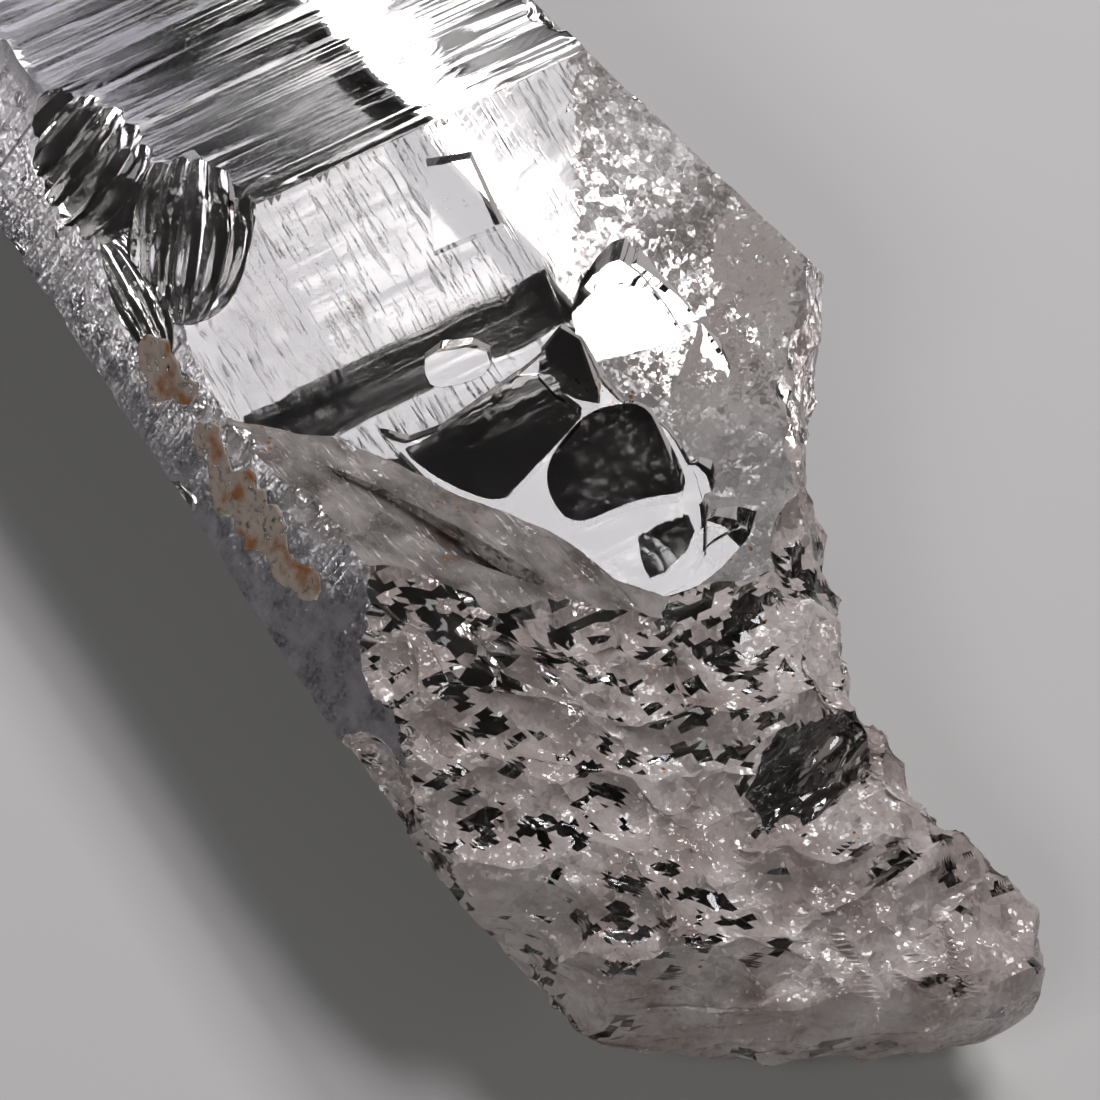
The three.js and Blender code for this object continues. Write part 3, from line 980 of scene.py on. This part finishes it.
@dataclass(frozen=True)
class Nicks:
    """Small nicks knocked out of the long edges, and bites along the silky wall's rim.

    Attributes:
        per_edge: How many nicks each edge has.
        radius: The least radius of a nick.
        spread: How much more it may be.
        stand_off: How far out its centre stands, as a share of the radius.
        axis_height: The height of the line from which it stands out.
        first_x: The least x of a nick.
        last_x: The greatest.
        seed: Sets their places.
        grid: Points round the ball that cuts a nick, and rings from pole to pole.
        bites: How many bites the rim has.
        bite_radius: The least radius of a bite.
        rim_start: The rim's point nearest the tip.
        rim_end: Its point nearest the root.
    """

    per_edge: int = 4
    radius: float = 0.9
    spread: float = 1.3
    stand_off: float = 0.7
    axis_height: float = 8.6
    first_x: float = 9.0
    last_x: float = 62.0
    seed: float = 29.0
    grid: tuple[int, int] = (36, 20)
    bites: int = 22
    bite_radius: float = 0.5
    rim_start: Point3 = (15.5, 13.6, 15.0)
    rim_end: Point3 = (-3.0, 12.3, 18.4)

    def ball(self, at: Array, radius: float, number: float, finish: Finish) -> Shell:
        """A ball with shallow facets: its radius dips with small dishes over its surface.

        Args:
            at: Its middle.
            radius: Its radius.
            number: Sets the dishes' places.
            finish: The finish that it leaves on what it cuts.

        Returns:
            The closed ball.
        """
        unit, relief = dished_ball(*self.grid, 2.0, 50.0 + number)
        return loft(unit * (radius * (0.85 + 0.3 * relief))[:, :, None] + at, finish)

    def shells(self, prism: Prism) -> list[Shell]:
        """The balls that cut the nicks and the bites.

        Args:
            prism: The prism whose edges are nicked.

        Returns:
            The closed balls.
        """
        balls = []
        for edge, face in enumerate(prism.faces):
            if not (face.ledged and prism.faces[(edge + 1) % 6].ledged):
                continue
            number = np.arange(self.per_edge)
            x = self.first_x + (self.last_x - self.first_x) * chance(number, edge, 0.0, self.seed)
            radius = self.radius + self.spread * chance(number, edge, 1.0, self.seed)
            corner = prism.corners(prism.reaches(x, np.zeros(len(x))))[:, edge]
            out = corner - np.array([0.0, self.axis_height])
            corner = corner + out / np.linalg.norm(out, axis=1)[:, None] * (radius * self.stand_off)[:, None]
            places = np.concatenate([x[:, None], corner], axis=1)
            balls += [self.ball(at, size, edge, Finish.GLASSY) for at, size in zip(places, radius)]
        share = chance(np.arange(self.bites), 4.0, 0.0, self.seed)
        line = np.array(self.rim_start) + share[:, None] * (np.array(self.rim_end) - self.rim_start)
        size = self.bite_radius * (0.7 + 1.9 * chance(np.arange(self.bites), 2.0, 0.0, self.seed) ** 2)
        roam = np.stack([chance(np.arange(self.bites), 3.0, n, self.seed) - 0.5 for n in range(3)], axis=1)
        line = line + roam * np.array([0.8, 0.9, 0.6]) + (size * 0.35)[:, None] * np.array([0.0, 0.8, 0.6])
        return balls + [
            self.ball(at, radius, 7.0 + number, Finish.FROSTED)
            for number, (at, radius) in enumerate(zip(line, size))
        ]


@dataclass(frozen=True)
class Cleft:
    """A cleft in the root's upper side: its scoop's middle, half sizes, turn and grid."""

    at: Point3 = (-18.6, -2.2, 14.6)
    half: Point3 = (2.4, 5.0, 3.4)
    turn: float = 12.0
    grid: tuple[int, int] = (120, 80)

    def shell(self) -> Shell:
        """The scoop: a stretched ball turned about the upright, with a dished surface."""
        unit, relief = dished_ball(*self.grid, 3.0, 44.0)
        scoop = unit * np.array(self.half) * (0.9 + 0.22 * relief)[:, :, None]
        angle = math.radians(self.turn)
        ahead = [math.cos(angle), math.sin(angle), 0.0]
        aside = [-math.sin(angle), math.cos(angle), 0.0]
        spin = np.array([ahead, aside, [0.0, 0.0, 1.0]])
        return loft(scoop @ spin + np.array(self.at), Finish.GLASSY)


@dataclass
class Bench:
    """A node tree, with short ways to add nodes and join them to others."""

    tree: bpy.types.NodeTree

    def add(
        self, kind: str, sockets: dict[str | int, Feed] | None = None, **settings: object
    ) -> bpy.types.Node:
        """Adds a node, then sets or joins its input sockets.

        Args:
            kind: The node's type.
            sockets: Input names or numbers, each with a value or with the socket that feeds it.
            settings: The node's own settings.

        Returns:
            The new node.
        """
        node = self.tree.nodes.new(kind)
        for name, value in settings.items():
            setattr(node, name, value)
        for name, value in (sockets or {}).items():
            if isinstance(value, Socket):
                self.tree.links.new(value, node.inputs[name])
            else:
                node.inputs[name].default_value = value
        return node

    def math(self, operation: str, first: Feed, second: Feed = 0.0) -> Socket:
        """The result of a Math node on one or two numbers or sockets."""
        return self.add("ShaderNodeMath", {0: first, 1: second}, operation=operation).outputs[0]

    def vector(self, operation: str, first: Feed, second: Feed) -> bpy.types.Node:
        """A Vector Math node on two vectors or sockets."""
        return self.add("ShaderNodeVectorMath", {0: first, 1: second}, operation=operation)

    def noise(self, place: Socket, scale: Feed, detail: float = 2.0) -> Socket:
        """The value of a noise texture at a place."""
        sockets = {"Vector": place, "Scale": scale, "Detail": detail}
        return self.add("ShaderNodeTexNoise", sockets).outputs[0]

    def spread(self, value: Socket, low: float, high: float, to: tuple[float, float] = (0.0, 1.0)) -> Socket:
        """A value stretched so that low and high become the two ends, and kept between them."""
        sockets = {"Value": value, "From Min": low, "From Max": high, "To Min": to[0], "To Max": to[1]}
        return self.add("ShaderNodeMapRange", sockets, clamp=True).outputs[0]

    def mix(self, share: Socket, first: Socket | Colour, second: Socket | Colour) -> Socket:
        """The mix of two colours by a share."""
        feeds = [colour if isinstance(colour, Socket) else (*colour, 1.0) for colour in (first, second)]
        return self.add("ShaderNodeMix", {0: share, 6: feeds[0], 7: feeds[1]}, data_type="RGBA").outputs[2]

    def bump(self, height: Socket, strength: float, distance: float, before: Socket | None = None) -> Socket:
        """The normal of a bump, over the normal of the one before it if there is one."""
        sockets = {"Height": height, "Strength": strength, "Distance": distance}
        if before:
            sockets["Normal"] = before
        return self.add("ShaderNodeBump", sockets).outputs[0]

    def effect(self, effect: "Effect", sockets: dict[str | int, Feed]) -> Socket:
        """The output of a shared effect, placed in this tree with its own inputs."""
        return self.add("ShaderNodeGroup", sockets, node_tree=effect.group()).outputs[0]


def blank_material(name: str) -> tuple[bpy.types.Material, Bench, Socket]:
    """A material with an empty tree.

    Args:
        name: Its name.

    Returns:
        The material, the bench on its tree, and the place in the object's own coordinates.
    """
    material = bpy.data.materials.new(name)
    material.use_nodes = True
    bench = Bench(material.node_tree)
    bench.tree.nodes.clear()
    return material, bench, bench.add("ShaderNodeTexCoord").outputs["Object"]


VECTOR: str = "NodeSocketVector"
NUMBER: str = "NodeSocketFloat"


class Effect(Enum):
    """The shared effects, each a node group that is made once."""

    FACETS = "facet_tilt"
    LINES = "growth_lines"
    CLOUD = "cloudiness"
    DUST = "rust_dust"

    def group(self) -> bpy.types.NodeTree:
        """The effect's node group, made on first use."""
        made = bpy.data.node_groups.get(self.value)
        return made if made else getattr(self, "_" + self.name.lower())()

    def _tree(self, inputs: dict[str, str], output: str) -> tuple[Bench, bpy.types.Node, bpy.types.Node]:
        """An empty group with named inputs and one output.

        Args:
            inputs: Input names with their socket types.
            output: The name of the one number that it puts out.

        Returns:
            The bench on the group, its input node and its output node.
        """
        tree = bpy.data.node_groups.new(self.value, "ShaderNodeTree")
        for name, kind in inputs.items():
            tree.interface.new_socket(name, in_out="INPUT", socket_type=kind)
        tree.interface.new_socket(output, in_out="OUTPUT", socket_type=NUMBER)
        bench = Bench(tree)
        return bench, bench.add("NodeGroupInput"), bench.add("NodeGroupOutput")

    def _facets(self) -> bpy.types.NodeTree:
        """Small flat facets: each cell's height falls along a direction of its own."""
        bench, given, result = self._tree({"Place": VECTOR, "Scale": NUMBER}, "Height")
        place, scale = given.outputs[:2]
        cells = bench.add("ShaderNodeTexVoronoi", {"Vector": place, "Scale": scale})
        away = bench.vector("SUBTRACT", place, cells.outputs["Position"]).outputs[0]
        lean = bench.vector("SUBTRACT", cells.outputs["Color"], (0.5, 0.5, 0.5)).outputs[0]
        fall = bench.vector("DOT_PRODUCT", away, lean).outputs["Value"]
        bench.tree.links.new(bench.math("MULTIPLY", fall, scale), result.inputs[0])
        return bench.tree

    def _lines(self) -> bpy.types.NodeTree:
        """Fine lines: the peaks of a noise that is close-set one way and drawn out the other."""
        bench, given, result = self._tree({"Place": VECTOR, "Stretch": VECTOR}, "Height")
        drawn = bench.vector("MULTIPLY", given.outputs[0], given.outputs[1]).outputs[0]
        peaks = bench.spread(bench.noise(drawn, 1.0, 3.0), 0.55, 0.75)
        bench.tree.links.new(peaks, result.inputs[0])
        return bench.tree

    def _cloud(self) -> bpy.types.NodeTree:
        """Cloudiness: broad noise, stretched to full contrast."""
        bench, given, result = self._tree({"Place": VECTOR, "Scale": NUMBER}, "Density")
        broad = bench.noise(given.outputs[0], given.outputs[1], 3.0)
        bench.tree.links.new(bench.spread(broad, 0.35, 0.65), result.inputs[0])
        return bench.tree

    def _dust(self) -> bpy.types.NodeTree:
        """Rust dust: small round specks, only where a broad noise is high."""
        bench, given, result = self._tree({"Place": VECTOR, "Scale": NUMBER, "Amount": NUMBER}, "Mask")
        place, scale, amount = given.outputs[:3]
        cells = bench.add("ShaderNodeTexVoronoi", {"Vector": place, "Scale": scale})
        patch = bench.math("GREATER_THAN", bench.noise(place, 260.0), bench.math("SUBTRACT", 1.0, amount))
        speck = bench.math("LESS_THAN", cells.outputs["Distance"], 0.28)
        bench.tree.links.new(bench.math("MULTIPLY", patch, speck), result.inputs[0])
        return bench.tree


@dataclass(frozen=True)
class Quartz:
    """A finish of the crystal itself.

    Attributes:
        name: The material's name.
        pale: Its colour where the cloud is dense.
        deep: Its colour elsewhere.
        cloud: The cloud's scale, in cells to the metre.
        roughness: Its roughness elsewhere, and where the cloud is dense.
        transmission: The share of light that goes in.
        facets: The scale and the strength of its small facets, for each size of them.
        lines: How strongly the fine lines show.
        stretch: The fineness of those lines along X, Y and Z.
        dust: The amount of rust dust.
        smoke: The colour that deep quartz takes on.
        smokiness: How fast it does, for each metre.
    """

    name: str
    pale: Colour = (0.97, 0.96, 0.96)
    deep: Colour = (0.94, 0.93, 0.93)
    cloud: float = 160.0
    roughness: tuple[float, float] = (0.02, 0.06)
    transmission: float = 1.0
    facets: tuple[tuple[float, float], ...] = ()
    lines: float = 0.0
    stretch: Point3 = (4200.0, 160.0, 160.0)
    dust: float = 0.0
    smoke: Colour = (0.93, 0.89, 0.86)
    smokiness: float = 1.5

    REFRACTION: ClassVar[float] = 1.544
    RUST: ClassVar[Colour] = (0.5, 0.2, 0.06)
    SPECK_SCALE: ClassVar[float] = 2600.0
    LINE_HEIGHT: ClassVar[float] = 0.0001

    def build(self) -> bpy.types.Material:
        """Makes the material.

        Returns:
            The finished material.
        """
        material, bench, place = blank_material(self.name)
        cloud = bench.effect(Effect.CLOUD, {"Place": place, "Scale": self.cloud})
        colour = bench.mix(cloud, self.deep, self.pale)
        if self.dust:
            inputs = {"Place": place, "Scale": self.SPECK_SCALE, "Amount": self.dust}
            colour = bench.mix(bench.effect(Effect.DUST, inputs), colour, self.RUST)
        rough = bench.spread(cloud, 0.0, 1.0, self.roughness)
        normal = None
        for scale, strength in self.facets:
            height = bench.effect(Effect.FACETS, {"Place": place, "Scale": scale})
            normal = bench.bump(height, strength, 1.0 / scale, normal)
        if self.lines:
            height = bench.effect(Effect.LINES, {"Place": place, "Stretch": self.stretch})
            normal = bench.bump(height, self.lines, self.LINE_HEIGHT, normal)
        sockets = {
            "Base Color": colour,
            "Roughness": rough,
            "IOR": self.REFRACTION,
            "Transmission Weight": self.transmission,
            "Metallic": 0.0,
        }
        if normal:
            sockets["Normal"] = normal
        skin = bench.add("ShaderNodeBsdfPrincipled", sockets)
        output = bench.add("ShaderNodeOutputMaterial", {"Surface": skin.outputs[0]})
        if self.smokiness:
            smoke = {"Color": (*self.smoke, 1.0), "Density": self.smokiness}
            inside = bench.add("ShaderNodeVolumeAbsorption", smoke)
            bench.tree.links.new(inside.outputs[0], output.inputs["Volume"])
        return material


FINISHES: dict[Finish, Quartz] = {
    Finish.CLEAR: Quartz("clear_quartz", lines=0.06),
    Finish.GLASSY: Quartz("glassy_fracture", roughness=(0.01, 0.04), dust=0.34),
    Finish.HATCHED: Quartz(
        "hatched_fracture", roughness=(0.02, 0.08), lines=0.12, stretch=(500.0, 5200.0, 500.0), dust=0.3
    ),
    Finish.FROSTED: Quartz(
        "frosted_fracture",
        pale=(0.8, 0.77, 0.76),
        deep=(0.55, 0.5, 0.47),
        roughness=(0.1, 0.3),
        transmission=0.6,
        facets=((1900.0, 0.5), (5200.0, 0.35)),
        dust=0.3,
    ),
    Finish.SILKY: Quartz(
        "silky_wall",
        pale=(0.66, 0.6, 0.57),
        deep=(0.22, 0.19, 0.17),
        cloud=420.0,
        roughness=(0.08, 0.24),
        transmission=0.5,
        facets=((1500.0, 0.35), (3800.0, 0.3)),
        lines=0.6,
        stretch=(300.0, 2600.0, 300.0),
        dust=0.38,
    ),
    Finish.MILKY: Quartz(
        "milky_quartz",
        pale=(0.95, 0.86, 0.83),
        deep=(0.6, 0.5, 0.46),
        cloud=260.0,
        roughness=(0.04, 0.18),
        transmission=0.42,
        facets=((1700.0, 0.6), (4600.0, 0.4)),
        dust=0.3,
        smokiness=0.0,
    ),
    Finish.SHARDS: Quartz("clear_shards", pale=(0.9, 0.86, 0.84), deep=(0.8, 0.72, 0.68), dust=0.34),
    Finish.ETCHED: Quartz(
        "etched_face",
        pale=(0.29, 0.28, 0.305),
        deep=(0.12, 0.116, 0.13),
        cloud=900.0,
        roughness=(0.22, 0.45),
        transmission=0.35,
        facets=((6500.0, 0.3),),
        lines=0.2,
    ),
}


@dataclass(frozen=True)
class IronStain:
    """The thin iron crust on the upper left face, in patches.

    Attributes:
        patches: Where each patch starts and ends along the crystal, and how far up the face its
            two edges stand at most, as shares of the face.
        face: The number of that face in the prism's list.
        lift: How far it stands off the face.
        thickness: Its thickness.
        rows: Points from one edge of a patch to the other.
        tan: Its common colour.
        rust: The colour of its rust spots.
    """

    patches: tuple[tuple[float, ...], ...] = ((12.2, 17.2, 0.3, 0.68), (0.4, 11.8, 0.2, 0.62))
    face: int = 5
    lift: float = 0.012
    thickness: float = 0.03
    rows: int = 14
    tan: Colour = (0.52, 0.43, 0.36)
    rust: Colour = (0.33, 0.13, 0.045)

    def patch(self, prism: Prism, start: float, end: float, low: float, high: float) -> Shell:
        """One patch: a thin strip laid over the face's treads, with wandering edges.

        At each section of the prism the strip runs across the face between two shares of its
        width. Both wander with smooth drift and close in towards the ends.

        Args:
            prism: The prism whose face it lies on.
            start: Where it starts along the crystal.
            end: Where it ends.
            low: The share of the face's width at its lower edge.
            high: The share at its upper edge.

        Returns:
            The closed shell.
        """
        places, tread, _ = prism.sections()
        keep = (places > start) & (places < end)
        places, tread = places[keep], tread[keep]
        corners = prism.corners(prism.reaches(places, tread))
        foot, top = corners[:, self.face - 1], corners[:, self.face]
        swell = np.sin(np.linspace(0.0, math.pi, len(places))) ** 0.4
        middle = (low + high) / 2 + 0.08 * drift(places * 0.7, 71.0)
        half = (high - low) / 2 * swell * (0.75 + 0.35 * drift(places * 1.9, 72.0))
        share = np.linspace(-1.0, 1.0, self.rows)
        across = middle[:, None] + half[:, None] * share
        skin = foot[:, None, :] + (top - foot)[:, None, :] * across[:, :, None]
        angle = math.radians(prism.faces[self.face].angle)
        out = np.array([math.cos(angle), math.sin(angle)])
        upper = skin + out * (self.lift + self.thickness)
        lower = (skin + out * self.lift)[:, ::-1]
        flat = np.concatenate([upper, lower], axis=1)
        wide = np.repeat(places[:, None, None], flat.shape[1], axis=1)
        return loft(np.concatenate([wide, flat], axis=2), Finish.CLEAR)

    def material(self) -> bpy.types.Material:
        """Makes the crust's matt material: tan, rust spots, and gaps where the quartz shows."""
        material, bench, place = blank_material("iron_stain")
        broad = bench.noise(place, 620.0, 5.0)
        fine = bench.noise(place, 2600.0, 4.0)
        darker = tuple(0.7 * part for part in self.tan)
        mottled = bench.mix(bench.spread(fine, 0.3, 0.7), darker, self.tan)
        colour = bench.mix(bench.spread(broad, 0.54, 0.66), mottled, self.rust)
        gaps = bench.spread(bench.math("ADD", fine, bench.math("MULTIPLY", broad, 0.6)), 0.62, 0.74)
        normal = bench.bump(fine, 0.4, 0.00008)
        skin = bench.add(
            "ShaderNodeBsdfPrincipled",
            {"Base Color": colour, "Roughness": 0.75, "Alpha": gaps, "Normal": normal},
        )
        bench.add("ShaderNodeOutputMaterial", {"Surface": skin.outputs[0]})
        return material

    def build(self, prism: Prism) -> bpy.types.Object:
        """Lays all patches on the face as one piece.

        Args:
            prism: The prism whose face they lie on.

        Returns:
            The finished piece.
        """
        shells = [self.patch(prism, *patch) for patch in self.patches]
        starts = np.cumsum([0] + [len(shell.points) for shell in shells])
        piece = Shell(
            np.concatenate([shell.points for shell in shells]),
            np.concatenate([shell.triangles + start for shell, start in zip(shells, starts)]),
            np.zeros(sum(len(shell.triangles) for shell in shells), dtype=np.int32),
        ).object("iron_stain")
        piece.data.materials.clear()
        piece.data.materials.append(self.material())
        return piece


@dataclass
class QuartzPoint:
    """The whole crystal: builds the prism, cuts its point and breaks its root.

    Attributes:
        prism: The prism.
        tip: The faces of the point.
        lump: The rough root.
        bowl: The fracture bowl.
        chips: The fluted chips along the upper left edge.
        pit: The pit in the far slope.
        cleft: The cleft in the root.
        nicks: The nicks along the edges.
        crease: The angle in degrees above which an edge between smooth faces is sharp.
        shard_width: The width of the clear shards in the milky root.
        shard_cluster: The width of the clusters that they lie in.
        shard_share: The greatest share of clear cells at the place of full share.
        shard_full_x: That place along the crystal.
        shard_fall: How much the share falls for each millimetre from there to the root's end.
        shard_limits: Its least and greatest value.
        frost_start: A point of the line past which the slope is frosted.
        frost_fall: How much the line falls for each millimetre along the crystal.
        frost_edge: The x past which the slope is frosted all across.
    """

    prism: Prism = field(default_factory=Prism)
    tip: Tip = field(default_factory=Tip)
    lump: RootLump = field(default_factory=RootLump)
    bowl: FractureBowl = field(default_factory=FractureBowl)
    chips: tuple[EdgeChip, ...] = (
        EdgeChip((29.2, 14.4, 18.3), (-0.2, 0.84, -0.5), (3.2, 3.6, 2.5), 13),
        EdgeChip((25.6, 12.8, 18.9), (-0.25, 0.84, -0.48), (5.0, 5.6, 3.6), 19),
        EdgeChip((19.6, 9.5, 18.8), (-0.76, 0.6, -0.3), (3.7, 5.2, 3.1), 15),
        EdgeChip((19.0, 13.5, 16.2), (-0.98, 0.05, -0.2), (1.9, 4.0, 1.5), 13),
    )
    pit: Pit = field(default_factory=Pit)
    cleft: Cleft = field(default_factory=Cleft)
    nicks: Nicks = field(default_factory=Nicks)
    crease: float = 26.0
    shard_width: float = 0.62
    shard_cluster: float = 3.4
    shard_share: float = 0.7
    shard_full_x: float = -6.0
    shard_fall: float = 0.03
    shard_limits: tuple[float, float] = (0.1, 0.75)
    frost_start: tuple[float, float] = (9.8, -7.6)
    frost_fall: float = 0.5
    frost_edge: float = 19.35

    def build(self) -> bpy.types.Object:
        """Cuts the crystal from its shells.

        Returns:
            The finished piece.
        """
        body = self.prism.shell().object("quartz_crystal")
        for number, shell in enumerate(self.tip.shells()):
            combine(body, shell.object(f"tip_{number}"), Cut.TAKE_AWAY)
        combine(body, self.lump.shell().object("lump"), Cut.KEEP_COMMON)
        room = self.bowl.slope().object("bowl_room")
        for number, wall in enumerate(self.bowl.walls):
            combine(room, self.bowl.wall(wall, number).object(f"wall_{number}"), Cut.KEEP_COMMON)
        combine(body, room, Cut.TAKE_AWAY)
        tools = [scar.shell() for scar in self.bowl.scars]
        tools += [chip.shell() for chip in self.chips]
        tools += [self.pit.shell(), self.cleft.shell(), *self.nicks.shells(self.prism)]
        for number, tool in enumerate(tools):
            combine(body, tool.object(f"tool_{number}"), Cut.TAKE_AWAY)
        self.dress(body)
        return body

    def dress(self, body: bpy.types.Object) -> None:
        """Gives each face its finish, and rounds the shading of the glassy breaks alone.

        Args:
            body: The cut crystal.
        """
        mesh = body.data
        kinds = np.empty(len(mesh.polygons), dtype=np.int32)
        mesh.polygons.foreach_get("material_index", kinds)
        mesh.materials.clear()
        for finish in Finish:
            mesh.materials.append(FINISHES[finish].build())
        centres = np.empty(3 * len(mesh.polygons), dtype=np.float32)
        mesh.polygons.foreach_get("center", centres)
        places = GROWTH.growth(centres.reshape(-1, 3))
        kinds[(kinds == int(Finish.HATCHED)) & self.frosted(places)] = int(Finish.FROSTED)
        kinds[(kinds == int(Finish.MILKY)) & self.clear(places)] = int(Finish.SHARDS)
        mesh.polygons.foreach_set("material_index", kinds)
        smooth = (kinds == int(Finish.GLASSY)) | (kinds == int(Finish.HATCHED))
        mesh.polygons.foreach_set("use_smooth", smooth)
        mesh.set_sharp_from_angle(angle=math.radians(self.crease))

    def frosted(self, places: Array) -> Array:
        """Whether the slope is frosted: past a line that falls and wanders, and at its upper edge.

        Args:
            places: Places on the slope, in growth-frame millimetres.

        Returns:
            True or False for each place.
        """
        x, y, _ = places.T
        wander = 0.9 * drift(x * 0.9, 81.0) + 0.5 * drift(x * 3.1, 82.0)
        line = self.frost_start[1] - self.frost_fall * (x - self.frost_start[0])
        return (y < line + wander) | (x > self.frost_edge + 0.3 * drift(y * 1.7, 83.0))

    def clear(self, places: Array) -> Array:
        """Whether the milky root is clear: cells at random, more in some clusters than in others.

        Args:
            places: Places on the root, in growth-frame millimetres.

        Returns:
            True or False for each place.
        """
        stretched = places * np.array([1.0, 0.6, 1.0])
        share = self.shard_share + (places[:, 0] - self.shard_full_x) * self.shard_fall
        share = np.clip(share, *self.shard_limits)
        share *= cell_chance(stretched, self.shard_cluster, 95.0) ** 1.5
        return cell_chance(stretched, self.shard_width, 91.0) < share


@dataclass(frozen=True)
class Softbox:
    """A flat rectangular light, level over the floor and facing down.

    Attributes:
        name: The light's name.
        low: Its least x and y, in metres.
        high: Its greatest x and y.
        height: Its height over the floor.
        glow: Its brightness, in watts for each square metre of its face.
        colour: Its colour.
    """

    name: str
    low: tuple[float, float]
    high: tuple[float, float]
    height: float
    glow: float
    colour: Colour = (1.0, 1.0, 1.0)

    def hang(self) -> None:
        """Hangs the light, level and facing down."""
        light = bpy.data.lights.new(self.name, "AREA")
        light.shape = "RECTANGLE"
        light.size = self.high[0] - self.low[0]
        light.size_y = self.high[1] - self.low[1]
        light.energy = self.glow * light.size * light.size_y
        light.color = self.colour
        lamp = bpy.data.objects.new(self.name, light)
        lamp.location = (
            (self.low[0] + self.high[0]) / 2,
            (self.low[1] + self.high[1]) / 2,
            self.height,
        )
        bpy.context.scene.collection.objects.link(lamp)


@dataclass(frozen=True)
class Studio:
    """The pale floor, the soft lights and the camera at the photograph's angle.

    Attributes:
        floor_size: The side of the floor, in metres.
        floor_gap: How far it lies under the crystal.
        floor_colour: Its colour.
        surround: The brightness of the room round it.
        aim: The point that the camera looks at, in metres.
        toward_camera: The direction from there to the camera, of which the height is worked out.
        distance: The camera's distance.
        roll: How far the camera is turned about its line of sight, in degrees.
        view_width: The width of what it sees at that distance.
        lights: The softboxes.
    """

    floor_size: float = 6.0
    floor_gap: float = 0.0002
    floor_colour: Colour = (0.62, 0.61, 0.6)
    surround: float = 0.03
    aim: Point3 = (-0.0213, 0.00176, 0.009)
    toward_camera: tuple[float, float] = (-0.38, 0.38)
    distance: float = 0.42
    roll: float = 126.0
    view_width: float = 0.0537
    lights: tuple[Softbox, ...] = (
        Softbox("white_box", (0.17, -0.3), (0.33, -0.197), 0.42, 80.0),
        Softbox("grey_box", (0.17, -0.171), (0.35, -0.09), 0.42, 22.0, (0.93, 0.9, 1.0)),
        Softbox("slope_box", (-0.045, -0.225), (0.105, -0.115), 0.42, 40.0, (1.0, 0.97, 1.0)),
        Softbox("side_box", (-0.35, 0.28), (-0.05, 0.48), 0.42, 14.0),
    )

    def set_up(self) -> None:
        """Makes the floor, the lights, the room and the camera."""
        self._floor()
        for light in self.lights:
            light.hang()
        self._room()
        self._camera()

    def _floor(self) -> None:
        """A flat, plain, pale sheet just under the crystal."""
        half = self.floor_size / 2
        mesh = bpy.data.meshes.new("floor")
        corners = [(-half, -half), (half, -half), (half, half), (-half, half)]
        mesh.from_pydata([(x, y, -self.floor_gap) for x, y in corners], [], [(0, 1, 2, 3)])
        material = bpy.data.materials.new("floor")
        material.use_nodes = True
        skin = material.node_tree.nodes["Principled BSDF"]
        skin.inputs["Base Color"].default_value = (*self.floor_colour, 1.0)
        skin.inputs["Roughness"].default_value = 0.8
        mesh.materials.append(material)
        sheet = bpy.data.objects.new("floor", mesh)
        bpy.context.scene.collection.objects.link(sheet)

    def _room(self) -> None:
        """The dim room, and light paths that keep what lies in a crystal's shadow dark."""
        world = bpy.data.worlds.new("room")
        world.use_nodes = True
        world.node_tree.nodes["Background"].inputs[0].default_value = (*[self.surround] * 3, 1.0)
        scene = bpy.context.scene
        scene.world = world
        scene.view_settings.view_transform = "Standard"
        scene.cycles.caustics_refractive = False
        scene.cycles.caustics_reflective = False
        scene.cycles.max_bounces = 6
        scene.cycles.transmission_bounces = 6
        scene.cycles.glossy_bounces = 3

    def _camera(self) -> None:
        """The camera: it looks back along its direction, turned by the roll."""
        x, y = self.toward_camera
        toward = Vector((x, y, math.sqrt(1.0 - x * x - y * y)))
        side = (Vector((1.0, 0.0, 0.0)) - toward * toward.x).normalized()
        other = toward.cross(side)
        roll = math.radians(self.roll)
        right = math.cos(roll) * side - math.sin(roll) * other
        up = math.sin(roll) * side + math.cos(roll) * other
        camera = bpy.data.cameras.new("camera")
        camera.lens = camera.sensor_width * self.distance / self.view_width
        stand = bpy.data.objects.new("camera", camera)
        matrix = Matrix((right, up, toward)).transposed().to_4x4()
        matrix.translation = Vector(self.aim) + toward * self.distance
        stand.matrix_world = matrix
        bpy.context.scene.collection.objects.link(stand)
        bpy.context.scene.camera = stand


def main() -> None:
    """Builds the studio and the crystal, in order, and reports each piece."""
    logging.basicConfig(level=logging.INFO, format="%(name)s: %(message)s")
    studio = Studio()
    studio.set_up()
    LOG.info("studio: floor, %d lights and camera", len(studio.lights))
    point = QuartzPoint()
    crystal = point.build()
    LOG.info("crystal: %d faces", len(crystal.data.polygons))
    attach(crystal, "root")
    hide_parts("quartz_point")
    stain = IronStain().build(point.prism)
    LOG.info("iron stain: %d faces", len(stain.data.polygons))
    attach(stain, "root")


if __name__ == "__main__":
    main()
